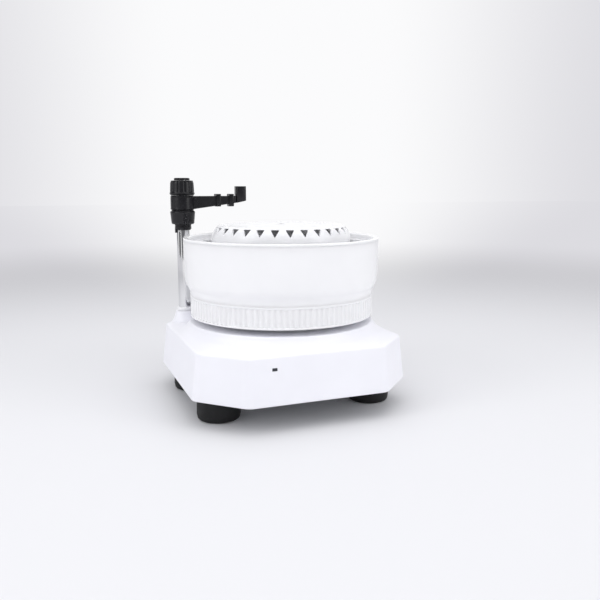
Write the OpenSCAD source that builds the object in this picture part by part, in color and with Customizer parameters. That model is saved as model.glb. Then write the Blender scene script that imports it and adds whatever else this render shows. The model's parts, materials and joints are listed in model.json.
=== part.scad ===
// Benchtop fraction collector: a motor-driven bowl of sample tubes on an octagonal base,
// and a column with a swing arm that holds the dispensing tube over the ring of tubes.
// Millimetres. X runs right along the front face, Y to the back, Z up.
// The origin is on the bench under the middle of the base.

/* [Tubes] */
// Number of tubes in the ring
tube_count = 30; // [28:1:31]
// Diameter of the largest tube that the ring takes
tube_d = 18; // [17:0.5:18.5]
// Free space between neighbouring tubes
tube_space = 0.8; // [0.5:0.1:1.5]
// Radial play of a tube between the guide and the rim
channel_play = 3; // [2:0.5:5]
// Depth of the flutes that space the tubes
flute_depth = 3.5; // [2:0.5:5]

/* [Bowl] */
// Width of the rim ring, from its inner to its outer edge
rim_w = 11; // [9.5:0.5:14]
// Height of the rim ring above the bowl's wall
rim_h = 3; // [2.5:0.25:5]
// Width of the rim's rounded crest
crest_w = 6.3; // [5.5:0.1:7]
// Depth of the rim's inner ledge below the crest
ledge_drop = 7; // [4.5:0.25:9]
// Height of the bowl from its underside to the rim ring
bowl_h = 85.2; // [76:0.2:100]
// Wall of the bowl
bowl_wall = 3; // [2:0.25:3.5]
// How far the lower part of the bowl is drawn in behind the rim
bowl_draw_in = 6.3; // [5:0.1:8]
// Height of the fluted grip ring
grip_h = 24.4; // [16:0.2:28]
// Number of flutes around the grip ring
grip_count = 108; // [60:4:140]
// Depth of the grip flutes
grip_depth = 0.7; // [0.3:0.1:1]
// How far the bowl has turned from the square position at rest, in degrees
rest_turn = -0.85; // [-6:0.05:6]

/* [Crown] */
// How far the crown's lower edge lies below the top of the bowl's wall
crown_drop = 1.2; // [0:0.2:3]
// Height of the crown above its seat on the tube guide
crown_h = 18.6; // [15:0.2:24]
// Radial reach of the crown's curved shoulder
shoulder_w = 11; // [8:0.5:16]
// Wall of the crown
crown_wall = 2; // [1.5:0.25:3]
// Width of each V window at its top edge
window_w = 9.4; // [6:0.2:11]
// Height of each V window
window_h = 8.1; // [5:0.1:9]
// Height of the window tips above the crown's lower edge
window_z = 7.6; // [5:0.2:9]
// Radius of the hub that stands inside the crown
crown_hub_r = 23.5; // [18:0.5:28]

/* [Base] */
// Height of the feet that show under the base
foot_h = 29; // [24:1:36]
// Largest diameter of a foot
foot_d = 47; // [36:1:50]
// Height of the upright side faces
side_h = 48.8; // [47:0.2:60]
// Draft of the side faces, from bottom edge to top edge
side_draft = 5.2; // [3:0.1:6]
// Length of each cut-off corner, measured along the sides
corner_cut = 45.5; // [40:0.5:50]
// Radius of the upright edges
edge_r = 14; // [8:1:18]
// Wall of the moulded shell
shell_wall = 3; // [2.5:0.25:4]
// How far the base reaches past the bowl at the sides
side_margin = 8.2; // [7.6:0.2:20]
// How far the base reaches past the bowl at the front
front_margin = 14.7; // [12:0.1:25]
// Rise of the sloped deck from the side faces to the dais
deck_rise = 4.7; // [3:0.1:7]
// Height of the round dais
dais_h = 9.5; // [8:0.5:13]
// Depth of the drip well in the dais
well_depth = 10; // [8:0.5:12]
// Width of the flat top of the dais around the well
lip_w = 24; // [18:0.5:28]
// Thickness of the well's floor
floor_t = 3; // [2.5:0.25:4]
// Free height between the dais and the bowl
bowl_gap = 6.8; // [6:0.2:10]
// Place of the bowl's axis, right of the middle of the base
axis_x = 3; // [-3:0.5:6]
// Place of the bowl's axis, behind the middle of the base
axis_y = -4; // [-8:0.5:4]
// Thickness of the bottom plate
plate_t = 2; // [1.5:0.25:3]

/* [Lens and sockets] */
// Width of the status lens
lens_w = 5.4; // [4:0.2:10]
// Height of the status lens
lens_h = 3.1; // [2.9:0.1:6]
// Place of the lens, from the middle of the front face to the left
lens_left = 48.5; // [30:0.1:60]
// Height of the lens above the bottom edge of the base
lens_up = 36.5; // [30:0.1:38]
// Radius of the round opening in each rear socket
socket_r = 6.6; // [5.5:0.1:7.5]
// Depth of that opening
socket_depth = 9; // [6:0.5:11]
// Distance between the two sockets
socket_pitch = 30; // [24:1:40]

/* [Drive] */
// Gear module
gear_m = 1; // [0.9:0.05:1]
// Teeth of the gear on the spindle
gear_teeth = 90; // [80:1:92]
// Teeth of the motor pinion
pinion_teeth = 18; // [16:1:20]
// Face width of the gear
gear_w = 5; // [4:0.5:6]
// Radius of the spindle
spindle_r = 4; // [3.5:0.5:4.5]
// Outer radius of the ball bearings
bearing_r = 11; // [10:0.5:13]
// Height of each ball bearing
bearing_h = 7; // [5:0.5:8]
// Width of the stepper motor's square body
motor_w = 42; // [35:1:43]
// Height of the stepper motor's body
motor_h = 28; // [20:1:28]
// Thickness of the chassis plate
chassis_t = 3; // [2:0.5:3]

/* [Column and arm] */
// Free space between the bowl and the column
column_gap = 9.6; // [9:0.1:13]
// Direction of the column from the bowl's axis, in degrees
column_angle = 137.5; // [135:0.5:140]
// Outer radius of the column tube
column_r = 8; // [7:0.25:8.5]
// Wall of the column tube
column_wall = 1.5; // [1:0.1:2]
// Height of the collar's lower edge above the rim
collar_up = 4.3; // [3.5:0.1:20]
// Travel of the inner rod
rod_travel = 67; // [30:1:80]
// Radius of the height knob at its widest
knob_r = 15; // [12:0.2:16]
// Height of the height knob
knob_h = 16.4; // [12:0.2:22]
// Height of the swing knob
swing_knob_h = 17.4; // [12:0.2:22]
// Radius of the arm's hub
hub_r = 14.2; // [11:0.1:14.6]
// Height of the arm's hub
hub_h = 16.2; // [12:0.2:20]
// Distance from the column to the dispensing tube
arm_reach = 72.8; // [68:0.2:82]
// Width of the arm
arm_w = 9; // [7:0.5:12]
// Depth of the arm at its outer end
arm_tip_h = 8.6; // [6:0.2:10]
// Length of the tubing holder along the arm
holder_l = 12.8; // [10:0.2:16]
// Height of the tubing holder above the arm
holder_up = 11.8; // [8:0.2:16]
// Radius of the dispensing tube that the holder takes
tubing_r = 1.6; // [1:0.1:2]

/* [Hidden] */
$fn = 72;
EPS = 0.01;

// Clearances
RUN = 0.05;   // between a shaft and its bearing
SEAT = 0.1;   // between pieces that are fixed to each other
FREE = 0.3;   // between pieces that move past each other

// Ring of tubes and the radii that follow from it
pitch_r = tube_count * (tube_d + tube_space) / (2 * PI);
guide_r = pitch_r - tube_d / 2 - channel_play / 2;
rim_in_r = pitch_r + tube_d / 2 + channel_play / 2;
bowl_r = rim_in_r + rim_w;
bowl_low_r = bowl_r - bowl_draw_in;
grip_in_r = bowl_low_r - 2.9;
bowl_low_in_r = grip_in_r - bowl_wall;

// Base outline
base_w = 2 * (bowl_r + abs(axis_x) + side_margin);
base_d = 2 * (bowl_r + abs(axis_y) + front_margin);
dais_r = bowl_r + 0.8;
well_r = dais_r - lip_w - 6.4;
plateau_r = well_r + lip_w;

// Heights above the bench
base_z = foot_h;
deck_z = base_z + side_h;
dais_z = deck_z + deck_rise;
dais_top = dais_z + dais_h;
well_z = dais_top - well_depth;
well_under = well_z - floor_t;
bowl_z = dais_top + bowl_gap;
rim_z = bowl_z + bowl_h;
rim_top = rim_z + rim_h;
draft_angle = atan(side_draft / side_h);

// Bowl internals
bowl_floor_t = 3;
bowl_floor = bowl_z + bowl_floor_t;
support_t = 5;
support_in_r = guide_r - 17;
support_z = bowl_floor + SEAT;
guide_z = support_z + support_t;
guide_wall = 3;
guide_top_t = 2.2;
crown_z = rim_z - crown_drop;
crown_top = crown_z + crown_h;
crown_flat_r = guide_r - shoulder_w;
post_r = 5;
pocket_r = 14;
pocket_top = bowl_z + 7;
bowl_hub_top = pocket_top + 3;
window_step = 360 / tube_count;

// Drive stack, built down from the well's floor
chassis_post = 12;
chassis_top = well_under - chassis_post;
chassis_z = chassis_top - chassis_t;
index_t = 0.8;
index_z = chassis_top + 3.7;
gear_z = index_z + index_t;
gear_pitch_r = gear_m * gear_teeth / 2;
gear_tip_r = gear_pitch_r + gear_m;
index_r = gear_tip_r + 4;
pinion_pitch_r = gear_m * pinion_teeth / 2;
mesh_play = 0.15;
motor_dx = gear_pitch_r + pinion_pitch_r + mesh_play;
motor_z = chassis_z - motor_h;
motor_shaft_r = 2.5;
motor_bolt = 15.5 * motor_w / 42;
motor_boss_r = 11;
lower_bearing_z = motor_z + 2;
upper_bearing_z = chassis_z - bearing_h;
housing_r = bearing_r + 5;
housing_flange_r = housing_r + 9.5;
housing_bolt_r = housing_r + 5;
shoulder_r = 7;
platter_top = bowl_z - FREE;
platter_t = 3;
platter_r = well_r - 10;
platter_low = well_z + 6;
spacer_r = 9;
peg_r = 4;
peg_circle = 40;
peg_up = 7;
peg_play = 0.4;
splash_r = 20;
splash_wall = 2.5;
splash_top = dais_top;

// Chassis plate outline about the bowl's axis, and its posts
chassis_left = 70;
chassis_right = motor_dx + motor_w / 2 + 7;
chassis_half_d = 56;
post_dx = 62;
post_dy = 48;

// Column and head
column_dist = bowl_r + column_gap + column_r;
column_x = axis_x + column_dist * cos(column_angle);
column_y = axis_y + column_dist * sin(column_angle);
turret_top = dais_top + 0.5;
turret_r = column_r + 3.7;
boss_low = base_z + plate_t + 27;
column_low = boss_low - 8;
bush_z = turret_top + SEAT;
bush_h = 4.7;
collar_z = rim_top + collar_up;
collar_h = 7;
collar_r = column_r + 1.9;
collar_top = collar_z + collar_h;
column_top = collar_top - 2.2;
rod_r = column_r - column_wall - 0.5;
neck_r = collar_r - 0.8;
neck_h = 9;
height_knob_z = collar_top + FREE;
height_knob_top = height_knob_z + knob_h;
rod_collar_z = height_knob_top + FREE;
rod_collar_h = 0.6;
hub_z = rod_collar_z + rod_collar_h + SEAT;
hub_top = hub_z + hub_h;
washer_z = hub_top + SEAT;
washer_h = 0.6;
swing_knob_z = washer_z + washer_h + FREE;
swing_knob_top = swing_knob_z + swing_knob_h;
cap_z = swing_knob_top + FREE;
cap_h = 2.8;
cap_r = 9.4;
rod_low = column_low + 25;
glide_h = 10;

// Arm, measured from the column's axis
arm_top = hub_top - SEAT;
arm_root_x = 10;
holder_x = arm_reach - holder_l / 2;
arm_end_x = holder_x - SEAT;
arm_root_low = hub_z + 0.05;
arm_slope = (arm_top - arm_tip_h - arm_root_low) / (arm_end_x - hub_r);
clip_l = 5.8;
clip_starts = [arm_end_x - 25.6, arm_end_x - 9.2];
clip_wall = 1.6;
clip_under = 0.6;
clip_up = 2.5;
tenon_l = 4;
tenon_w = 5;
tenon_h = 5;

// Bottom plate, feet and small hardware
plate_z = base_z + 1;
plate_top = plate_z + plate_t;
plate_gap = 0.5;
foot_inset_x = 33.5;
foot_inset_y = 70;
foot_x = base_w / 2 - foot_inset_x;
foot_y = base_d / 2 - foot_inset_y;
foot_nut_h = 4;
foot_nut_r = 4.6;
foot_screw_r = 2.5;
foot_sink_r = 5.2;
foot_sink_h = 5.5;
m3_r = 1.5;
m3_head_r = 2.8;
m3_head_h = 2;
shell_post_r = 4.5;
shell_posts = [
    for (sx = [-1, 1], sy = [-1, 1])
        each [[sx * (base_w / 2 - 14.5), sy * 40], [sx * 66, sy * (base_d / 2 - 14)]]
];

// Controller board, on spacers on the bottom plate
board_w = 66;
board_d = 96;
board_t = 1.6;
board_x = -base_w / 2 + 20;
board_y = -50;
spacer_h = 5;
board_z = plate_top + spacer_h;
board_inset = 5;
board_holes = [
    for (ix = [0, 1], iy = [0, 1])
        [board_x + board_inset + ix * (board_w - 2 * board_inset),
         board_y + board_inset + iy * (board_d - 2 * board_inset)]
];

// Lens and its board
lens_x = -lens_left;
lens_z = base_z + lens_up;
lens_depth = 4;
lamp_gap = 8;

// Rear panel
panel_t = 2.5;
panel_face_y = base_d / 2 - side_draft - 4;
panel_w = socket_pitch + 50;
panel_h = 32;
panel_up = 23;
panel_mid_z = base_z + panel_up;
panel_lap_x = 5;
panel_lap_z = 3;
window_rear_w = panel_w - 2 * panel_lap_x;
window_rear_h = panel_h - 2 * panel_lap_z;
socket_wall = 0.9;
socket_flange_r = socket_r + 2.9;
socket_flange_t = 2;
socket_len = 15;
socket_mouth_y = panel_face_y + socket_flange_t;

// ---- Shared shapes ----

module at_axis(z = 0) {
    translate([axis_x, axis_y, z]) children();
}

module at_column(z = 0) {
    translate([column_x, column_y, z]) children();
}

module at_motor(z = 0) {
    translate([axis_x + motor_dx, axis_y, z]) children();
}

// A ring or a tube that stands on z = 0
module ring(r_out, r_in, h) {
    difference() {
        cylinder(r = r_out, h = h);
        translate([0, 0, -1]) cylinder(r = r_in, h = h + 2);
    }
}

// A box centred in X and Y
module block(size, z = 0) {
    translate([-size[0] / 2, -size[1] / 2, z]) cube(size);
}

// A screw that points down: the head stands on z = 0 with a hexagon socket in it
module screw_down(shank_r, length, head_r, head_h) {
    difference() {
        union() {
            cylinder(r = head_r, h = head_h, $fn = 32);
            translate([0, 0, -length]) cylinder(r = shank_r, h = length + EPS, $fn = 24);
        }
        translate([0, 0, head_h * 0.4]) cylinder(r = head_r * 0.5, h = head_h, $fn = 6);
    }
}

module screw_up(shank_r, length, head_r, head_h) {
    mirror([0, 0, 1]) screw_down(shank_r, length, head_r, head_h);
}

// The corners of the base's octagon, drawn in by inset
function octagon(inset) = let (
    w = base_w / 2 - inset,
    d = base_d / 2 - inset,
    c = corner_cut - inset * (2 - sqrt(2))
) [
    [w, d - c], [w - c, d], [-w + c, d], [-w, d - c],
    [-w, -d + c], [-w + c, -d], [w - c, -d], [w, -d + c]
];

// Thin discs on those corners: a hull around them is the octagon with round edges
module octagon_discs(inset, z, r = edge_r) {
    for (p = octagon(inset + r))
        translate([p[0], p[1], z]) cylinder(r = r, h = EPS, $fn = 32);
}

// Place of the front face at a height, as its distance in front of the middle
function face_y(z) = base_d / 2 - side_draft * (z - base_z) / side_h;

// One spur gear: straight flanks through the root, pitch and tip circles
module spur_gear(teeth, width, bore_r, play = 0.12) {
    rp = gear_m * teeth / 2;
    rt = rp + gear_m;
    rr = rp - 1.25 * gear_m;
    half = 90 / teeth - play * 180 / (PI * rp) / 2;
    slope = gear_m * tan(20) * 180 / PI / rp;
    half_tip = half - slope * 1.08;
    half_root = half + slope * 1.2;
    difference() {
        linear_extrude(width) polygon([
            for (i = [0 : teeth - 1], s = [
                [-half_root, rr], [-half_tip, rt], [half_tip, rt], [half_root, rr]
            ])
                let (a = i * 360 / teeth + s[0]) [s[1] * cos(a), s[1] * sin(a)]
        ]);
        translate([0, 0, -1]) cylinder(r = bore_r, h = width + 2);
    }
}

// ---- Base ----

module base_outside() {
    hull() {
        octagon_discs(0, base_z);
        octagon_discs(side_draft, deck_z - EPS);
    }
    hull() {
        octagon_discs(side_draft, deck_z - EPS);
        at_axis(dais_z - EPS) cylinder(r = dais_r, h = EPS, $fn = 96);
    }
}

module dais() {
    lip_round = 1.2;
    at_axis() rotate_extrude($fn = 144) polygon([
        [0, deck_z - 1], [dais_r - 0.4, deck_z - 1], [dais_r - 0.4, dais_z + 0.2],
        [plateau_r + 1.2, dais_top - 2.4],
        for (a = [0 : 15 : 90])
            [plateau_r - lip_round + lip_round * cos(a), dais_top - lip_round + lip_round * sin(a)],
        [0, dais_top]
    ]);
}

module turret() {
    at_column() rotate_extrude() polygon([
        [0, deck_z - 2], [turret_r + 7, deck_z - 2], [turret_r + 5.4, deck_z + 0.6],
        [turret_r + 3.8, deck_z + 3.4], [turret_r + 2.2, deck_z + 6.8],
        [turret_r + 1, deck_z + 10.2], [turret_r + 0.3, turret_top - 1.2],
        [turret_r - 0.7, turret_top], [0, turret_top]
    ]);
}

// The hollow under the deck and under the flat top of the dais
module base_hollow() {
    hull() {
        octagon_discs(shell_wall, base_z - 1, edge_r - shell_wall);
        octagon_discs(shell_wall + side_draft, deck_z - shell_wall, edge_r - shell_wall);
    }
    at_axis(deck_z - shell_wall - 1)
        cylinder(r = well_r, h = well_under - deck_z + shell_wall + 1);
    at_axis() rotate_extrude($fn = 144) polygon([
        [well_r + shell_wall, deck_z - shell_wall - 1], [plateau_r + 2.6, deck_z - shell_wall - 1],
        [plateau_r + 2.6, dais_z - 0.5], [plateau_r - 2, dais_top - shell_wall],
        [well_r + shell_wall, dais_top - shell_wall]
    ]);
}

module shell_bosses() {
    // posts for the bottom plate's screws
    for (p = shell_posts)
        translate([p[0], p[1], plate_top]) cylinder(r = shell_post_r, h = deck_z - plate_top - 1);
    // posts that carry the chassis plate
    for (sx = [-1, 1], sy = [-1, 1])
        at_axis() translate([sx * post_dx, sy * post_dy, chassis_top])
            cylinder(r = 5, h = chassis_post + 1);
    // sleeve around the column
    at_column(boss_low) cylinder(r = column_r + 4, h = turret_top - boss_low - 4);
    // two pegs for the lamp board
    for (s = [-1, 1])
        translate([lens_x + s * 6, -face_y(lens_z) + lamp_gap, lens_z])
            rotate([90, 0, 0]) cylinder(r = 2, h = lamp_gap - 1, $fn = 24);
}

// Flat seat for the rear panel, kept inside the outer shape
module panel_seat() {
    intersection() {
        translate([0, panel_face_y + 10, 0])
            block([panel_w + 4, 20, panel_h + 4], panel_mid_z - panel_h / 2 - 2);
        hull() {
            octagon_discs(0, base_z);
            octagon_discs(side_draft, deck_z - EPS);
        }
    }
}

module base_shell() color("white") difference() {
    union() {
        difference() {
            union() {
                base_outside();
                dais();
                turret();
            }
            base_hollow();
        }
        shell_bosses();
        panel_seat();
        // collar that keeps spills away from the spindle
        at_axis(well_under) cylinder(r = splash_r + splash_wall, h = splash_top - well_under);
    }
    // drip well around the collar
    at_axis(well_z) difference() {
        cylinder(r = well_r, h = well_depth + 1);
        translate([0, 0, -1]) cylinder(r = splash_r + splash_wall, h = well_depth + 3);
    }
    at_axis(well_under - 1) cylinder(r = splash_r, h = splash_top - well_under + 2);
    // column bore
    at_column(boss_low - 1) cylinder(r = column_r + SEAT / 2, h = turret_top - boss_low + 2);
    // lens window
    translate([lens_x, -face_y(lens_z), lens_z]) rotate([-draft_angle, 0, 0])
        block([lens_w + 2 * SEAT, 2 * shell_wall + 2, lens_h + 2 * SEAT], -lens_h / 2 - SEAT);
    // pilot holes
    for (p = shell_posts)
        translate([p[0], p[1], plate_top - 1]) cylinder(r = m3_r + SEAT / 2, h = 10, $fn = 24);
    for (sx = [-1, 1], sy = [-1, 1])
        at_axis() translate([sx * post_dx, sy * post_dy, chassis_top - 1])
            cylinder(r = m3_r + SEAT / 2, h = 10, $fn = 24);
    for (s = [-1, 1])
        translate([s * (panel_w / 2 - 2.6), panel_face_y + 3, panel_mid_z])
            rotate([90, 0, 0]) cylinder(r = m3_r + SEAT / 2, h = 5, $fn = 24);
    // window for the rear panel
    translate([0, panel_face_y, 0])
        block([window_rear_w, 40, window_rear_h], panel_mid_z - window_rear_h / 2);
}

module plate_outline(inset) {
    hull() {
        octagon_discs(inset, plate_z, edge_r - inset);
        octagon_discs(inset, plate_top - EPS, edge_r - inset);
    }
}

function foot_places() = [for (sx = [-1, 1], sy = [-1, 1]) [sx * foot_x, sy * foot_y]];

module base_plate() color("lightgray") difference() {
    plate_outline(shell_wall + plate_gap);
    for (p = foot_places())
        translate([p[0], p[1], 0]) cylinder(r = foot_screw_r + SEAT, h = deck_z);
    for (p = concat(shell_posts, board_holes))
        translate([p[0], p[1], 0]) cylinder(r = m3_r + SEAT, h = deck_z);
}

module plate_screws() color("silver") {
    for (p = shell_posts)
        translate([p[0], p[1], plate_z]) screw_up(m3_r, plate_t + 6, m3_head_r, m3_head_h);
}

module foot(sx, sy) color("#222222") difference() {
    edge = 5;
    r = foot_d / 2;
    top_r = r - 0.8;
    translate([sx * foot_x, sy * foot_y, 0]) rotate_extrude() polygon([
        [0, 0], [r - edge, 0],
        for (a = [-75 : 15 : 0]) [r - edge + edge * cos(a), edge + edge * sin(a)],
        [top_r, plate_z], [0, plate_z]
    ]);
    translate([sx * foot_x, sy * foot_y, -1]) {
        cylinder(r = foot_screw_r + SEAT, h = plate_z + 2);
        cylinder(r = foot_sink_r, h = foot_sink_h + 1);
    }
}

module foot_screws() color("silver") {
    for (p = foot_places())
        translate([p[0], p[1], foot_sink_h])
            screw_up(foot_screw_r, plate_top - foot_sink_h + foot_nut_h + 1, foot_sink_r - 0.7, 3.5);
}

module foot_nuts() color("silver") {
    for (p = foot_places())
        translate([p[0], p[1], plate_top]) difference() {
            cylinder(r = foot_nut_r, h = foot_nut_h, $fn = 6);
            translate([0, 0, -1]) cylinder(r = foot_screw_r + SEAT / 2, h = foot_nut_h + 2);
        }
}

// ---- Lens, boards and rear sockets ----

module status_lens() color("#303236")
    translate([lens_x, -face_y(lens_z), lens_z]) rotate([-draft_angle, 0, 0])
        translate([0, lens_depth / 2, 0]) block([lens_w, lens_depth, lens_h], -lens_h / 2);

module lamp_board() color("seagreen") {
    back_y = -face_y(lens_z) + lamp_gap;
    translate([lens_x - 9, back_y + SEAT, lens_z - 7]) cube([18, board_t, 14]);
    translate([lens_x, back_y + SEAT + EPS, lens_z]) rotate([90, 0, 0])
        cylinder(r = 1.9, h = lamp_gap - lens_depth - 0.6, $fn = 24);
}

module control_board() color("seagreen") difference() {
    union() {
        translate([board_x, board_y, board_z]) cube([board_w, board_d, board_t]);
        // processor, driver with its heat sink, capacitors and wire headers
        translate([board_x, board_y, board_z + board_t - EPS]) {
            translate([26, 34, 0]) cube([14, 14, 1.6]);
            translate([14, 62, 0]) cube([16, 12, 6]);
            for (i = [0 : 2]) translate([42 + i * 9, 70, 0]) cylinder(r = 3.5, h = 9, $fn = 32);
            for (i = [0 : 2]) translate([12 + i * 15, 4, 0]) cube([11, 6, 8]);
            translate([54, 14, 0]) cube([7, 26, 7]);
            for (i = [0 : 3]) translate([12 + i * 9, 22, 0]) cube([6, 4, 1.4]);
        }
    }
    for (p = board_holes)
        translate([p[0], p[1], board_z - 1]) cylinder(r = m3_r + SEAT, h = 4);
}

module board_spacers() color("gold") {
    for (p = board_holes)
        translate([p[0], p[1], plate_top]) ring(3, m3_r + SEAT, spacer_h);
}

module board_screws() color("silver") {
    for (p = board_holes)
        translate([p[0], p[1], board_z + board_t])
            screw_down(m3_r, board_t + spacer_h + plate_t, m3_head_r, m3_head_h);
}

module at_socket(side) {
    translate([side * socket_pitch / 2, socket_mouth_y, panel_mid_z]) rotate([-90, 0, 0]) children();
}

module rear_panel() color("#3a3c40") difference() {
    translate([0, panel_face_y - panel_t / 2, 0])
        block([panel_w, panel_t, panel_h], panel_mid_z - panel_h / 2);
    for (s = [-1, 1]) {
        at_socket(s) translate([0, 0, -panel_t - socket_flange_t - 1])
            cylinder(r = socket_r + socket_wall + SEAT, h = 8);
        translate([s * (panel_w / 2 - 2.6), panel_face_y + 1, panel_mid_z])
            rotate([90, 0, 0]) cylinder(r = m3_r + SEAT, h = 6, $fn = 24);
    }
}

module panel_screws() color("silver") {
    for (s = [-1, 1])
        translate([s * (panel_w / 2 - 2.6), panel_face_y - panel_t, panel_mid_z])
            rotate([90, 0, 0]) screw_down(m3_r, panel_t + 2, m3_head_r * 0.9, m3_head_h);
}

// A round socket: contacts is the number of contact holes, on a circle
module socket(contacts) difference() {
    union() {
        translate([0, 0, -socket_flange_t]) cylinder(r = socket_flange_r, h = socket_flange_t);
        translate([0, 0, -socket_len]) cylinder(r = socket_r + socket_wall, h = socket_len);
    }
    translate([0, 0, -socket_depth]) cylinder(r = socket_r, h = socket_depth + 1);
    for (i = [0 : contacts - 1]) rotate([0, 0, 45 + i * 270 / (contacts - 1) - 90])
        translate([socket_r * 0.58, 0, -socket_depth - 3]) cylinder(r = 0.7, h = 5, $fn = 16);
}

module power_socket() color("#26272a") at_socket(-1) socket(4);

module signal_socket() color("#26272a") at_socket(1) socket(6);

module socket_nuts() color("silver") {
    for (s = [-1, 1])
        at_socket(s) translate([0, 0, -socket_flange_t - panel_t - 3])
            ring(socket_flange_r + 0.5, socket_r + socket_wall + SEAT, 3);
}

// ---- Chassis, bearings and motor ----

module chassis_plate() color("silver") difference() {
    at_axis(chassis_z) translate([-chassis_left, -chassis_half_d, 0])
        cube([chassis_left + chassis_right, 2 * chassis_half_d, chassis_t]);
    at_axis(chassis_z - 1) {
        cylinder(r = shoulder_r + 2, h = chassis_t + 2);
        for (a = [45 : 90 : 315]) rotate(a) translate([housing_bolt_r, 0, 0])
            cylinder(r = m3_r + SEAT, h = chassis_t + 2, $fn = 24);
        for (sx = [-1, 1], sy = [-1, 1]) translate([sx * post_dx, sy * post_dy, 0])
            cylinder(r = m3_r + SEAT, h = chassis_t + 2, $fn = 24);
        // lightening windows
        for (s = [-1, 1]) translate([-30, s * 39, 0]) block([40, 14, chassis_t + 2]);
    }
    at_motor(chassis_z - 1) {
        cylinder(r = motor_boss_r + SEAT, h = chassis_t + 2);
        for (sx = [-1, 1], sy = [-1, 1]) translate([sx * motor_bolt, sy * motor_bolt, 0])
            cylinder(r = m3_r + SEAT, h = chassis_t + 2, $fn = 24);
    }
}

module chassis_screws() color("silver") {
    for (sx = [-1, 1], sy = [-1, 1])
        at_axis(chassis_z) translate([sx * post_dx, sy * post_dy, 0])
            screw_up(m3_r, chassis_t + 7, m3_head_r, m3_head_h);
}

module bearing_housing() color("lightgray") difference() {
    union() {
        at_axis(lower_bearing_z - 1) cylinder(r = housing_r, h = chassis_z - lower_bearing_z + 1);
        at_axis(chassis_z - 3) cylinder(r = housing_flange_r, h = 3);
    }
    at_axis() {
        translate([0, 0, lower_bearing_z - 2]) cylinder(r = bearing_r - 2, h = chassis_z);
        translate([0, 0, lower_bearing_z - 2])
            cylinder(r = bearing_r + RUN / 2, h = bearing_h + 2);
        translate([0, 0, upper_bearing_z]) cylinder(r = bearing_r + RUN / 2, h = bearing_h + 1);
        for (a = [45 : 90 : 315]) rotate(a) translate([housing_bolt_r, 0, chassis_z - 4])
            cylinder(r = m3_r + SEAT, h = 5, $fn = 24);
    }
}

module housing_screws() color("silver") {
    for (a = [45 : 90 : 315])
        at_axis(chassis_z - 3) rotate(a) translate([housing_bolt_r, 0, 0])
            screw_up(m3_r, 3 + chassis_t - 0.2, m3_head_r, m3_head_h);
}

// A shielded ball bearing, with the grooves between its rings and its shields
module bearing() difference() {
    ring(bearing_r, spindle_r + RUN, bearing_h);
    for (z = [-EPS, bearing_h - 0.4 + EPS])
        translate([0, 0, z]) ring(bearing_r - 1.6, spindle_r + 1.8, 0.4);
}

module upper_bearing() color("silver") at_axis(upper_bearing_z) bearing();

module lower_bearing() color("silver") at_axis(lower_bearing_z) bearing();

module stepper_motor() color("#2b2b2e") at_motor() difference() {
    union() {
        intersection() {
            block([motor_w, motor_w, motor_h], motor_z);
            rotate(45) block([motor_w * 1.27, motor_w * 1.27, motor_h], motor_z);
        }
        translate([0, 0, chassis_z - EPS]) cylinder(r = motor_boss_r, h = 2);
    }
    translate([0, 0, motor_z + 3]) cylinder(r = motor_shaft_r + RUN, h = motor_h + 4);
    for (sx = [-1, 1], sy = [-1, 1])
        translate([sx * motor_bolt, sy * motor_bolt, chassis_z - 5])
            cylinder(r = m3_r + SEAT / 2, h = 6, $fn = 24);
    // grooves where the laminations meet the end caps
    for (z = [motor_z + 7, chassis_z - 7.6]) translate([0, 0, z]) difference() {
        block([motor_w + 2, motor_w + 2, 0.6]);
        block([motor_w - 1, motor_w - 1, 0.6]);
    }
}

module motor_screws() color("silver") {
    for (sx = [-1, 1], sy = [-1, 1])
        at_motor(chassis_top) translate([sx * motor_bolt, sy * motor_bolt, 0])
            screw_down(m3_r, chassis_t + 4, m3_head_r, m3_head_h);
}

// Optical fork that the index disc turns through
module home_sensor() color("#1f1f22") at_axis(chassis_top) {
    slot_z = index_z - chassis_top;
    translate([-index_r - 9, -6, 0]) difference() {
        cube([12, 12, slot_z + index_t + 3.4]);
        translate([8, -1, slot_z - 0.7]) cube([5, 14, index_t + 1.4]);
        translate([11.4 - EPS, -1, slot_z - 0.7]) cube([1, 14, 10]);
        translate([-1, -1, 3]) cube([5, 14, 10]);
    }
}

// ---- Turntable ----

module spindle() color("silver") at_axis() difference() {
    union() {
        translate([0, 0, motor_z - 1.5])
            cylinder(r = spindle_r, h = platter_top - platter_t - motor_z + 1.5);
        translate([0, 0, chassis_z + 0.2])
            cylinder(r = shoulder_r, h = index_z - chassis_z - 0.2);
    }
    // groove for the retaining ring, and the hole for the top screw
    translate([0, 0, lower_bearing_z - 1.4]) ring(spindle_r + 1, spindle_r - 0.6, 1.2);
    translate([0, 0, platter_top - platter_t - 10]) cylinder(r = 2 + SEAT / 2, h = 20, $fn = 24);
}

module retaining_ring() color("#3c3c40") at_axis(lower_bearing_z - 1.3) difference() {
    ring(spindle_r + 2.6, spindle_r - 0.55, 1);
    translate([0, -1.2, -1]) cube([10, 2.4, 3]);
}

module index_disc() color("#303033") at_axis(index_z) difference() {
    ring(index_r, spindle_r + SEAT / 2, index_t);
    rotate(180) translate([index_r - 3, -1, -1]) cube([4, 2, 3]);
}

module drive_gear() color("ivory") at_axis(gear_z) difference() {
    spur_gear(gear_teeth, gear_w, spindle_r + SEAT / 2);
    for (a = [30 : 60 : 330]) rotate(a)
        translate([gear_pitch_r * 0.6, 0, -1]) cylinder(r = gear_pitch_r * 0.17, h = gear_w + 2);
}

module spindle_spacer() color("silver") at_axis(gear_z + gear_w)
    ring(spacer_r, spindle_r + SEAT / 2, platter_low - gear_z - gear_w);

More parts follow.
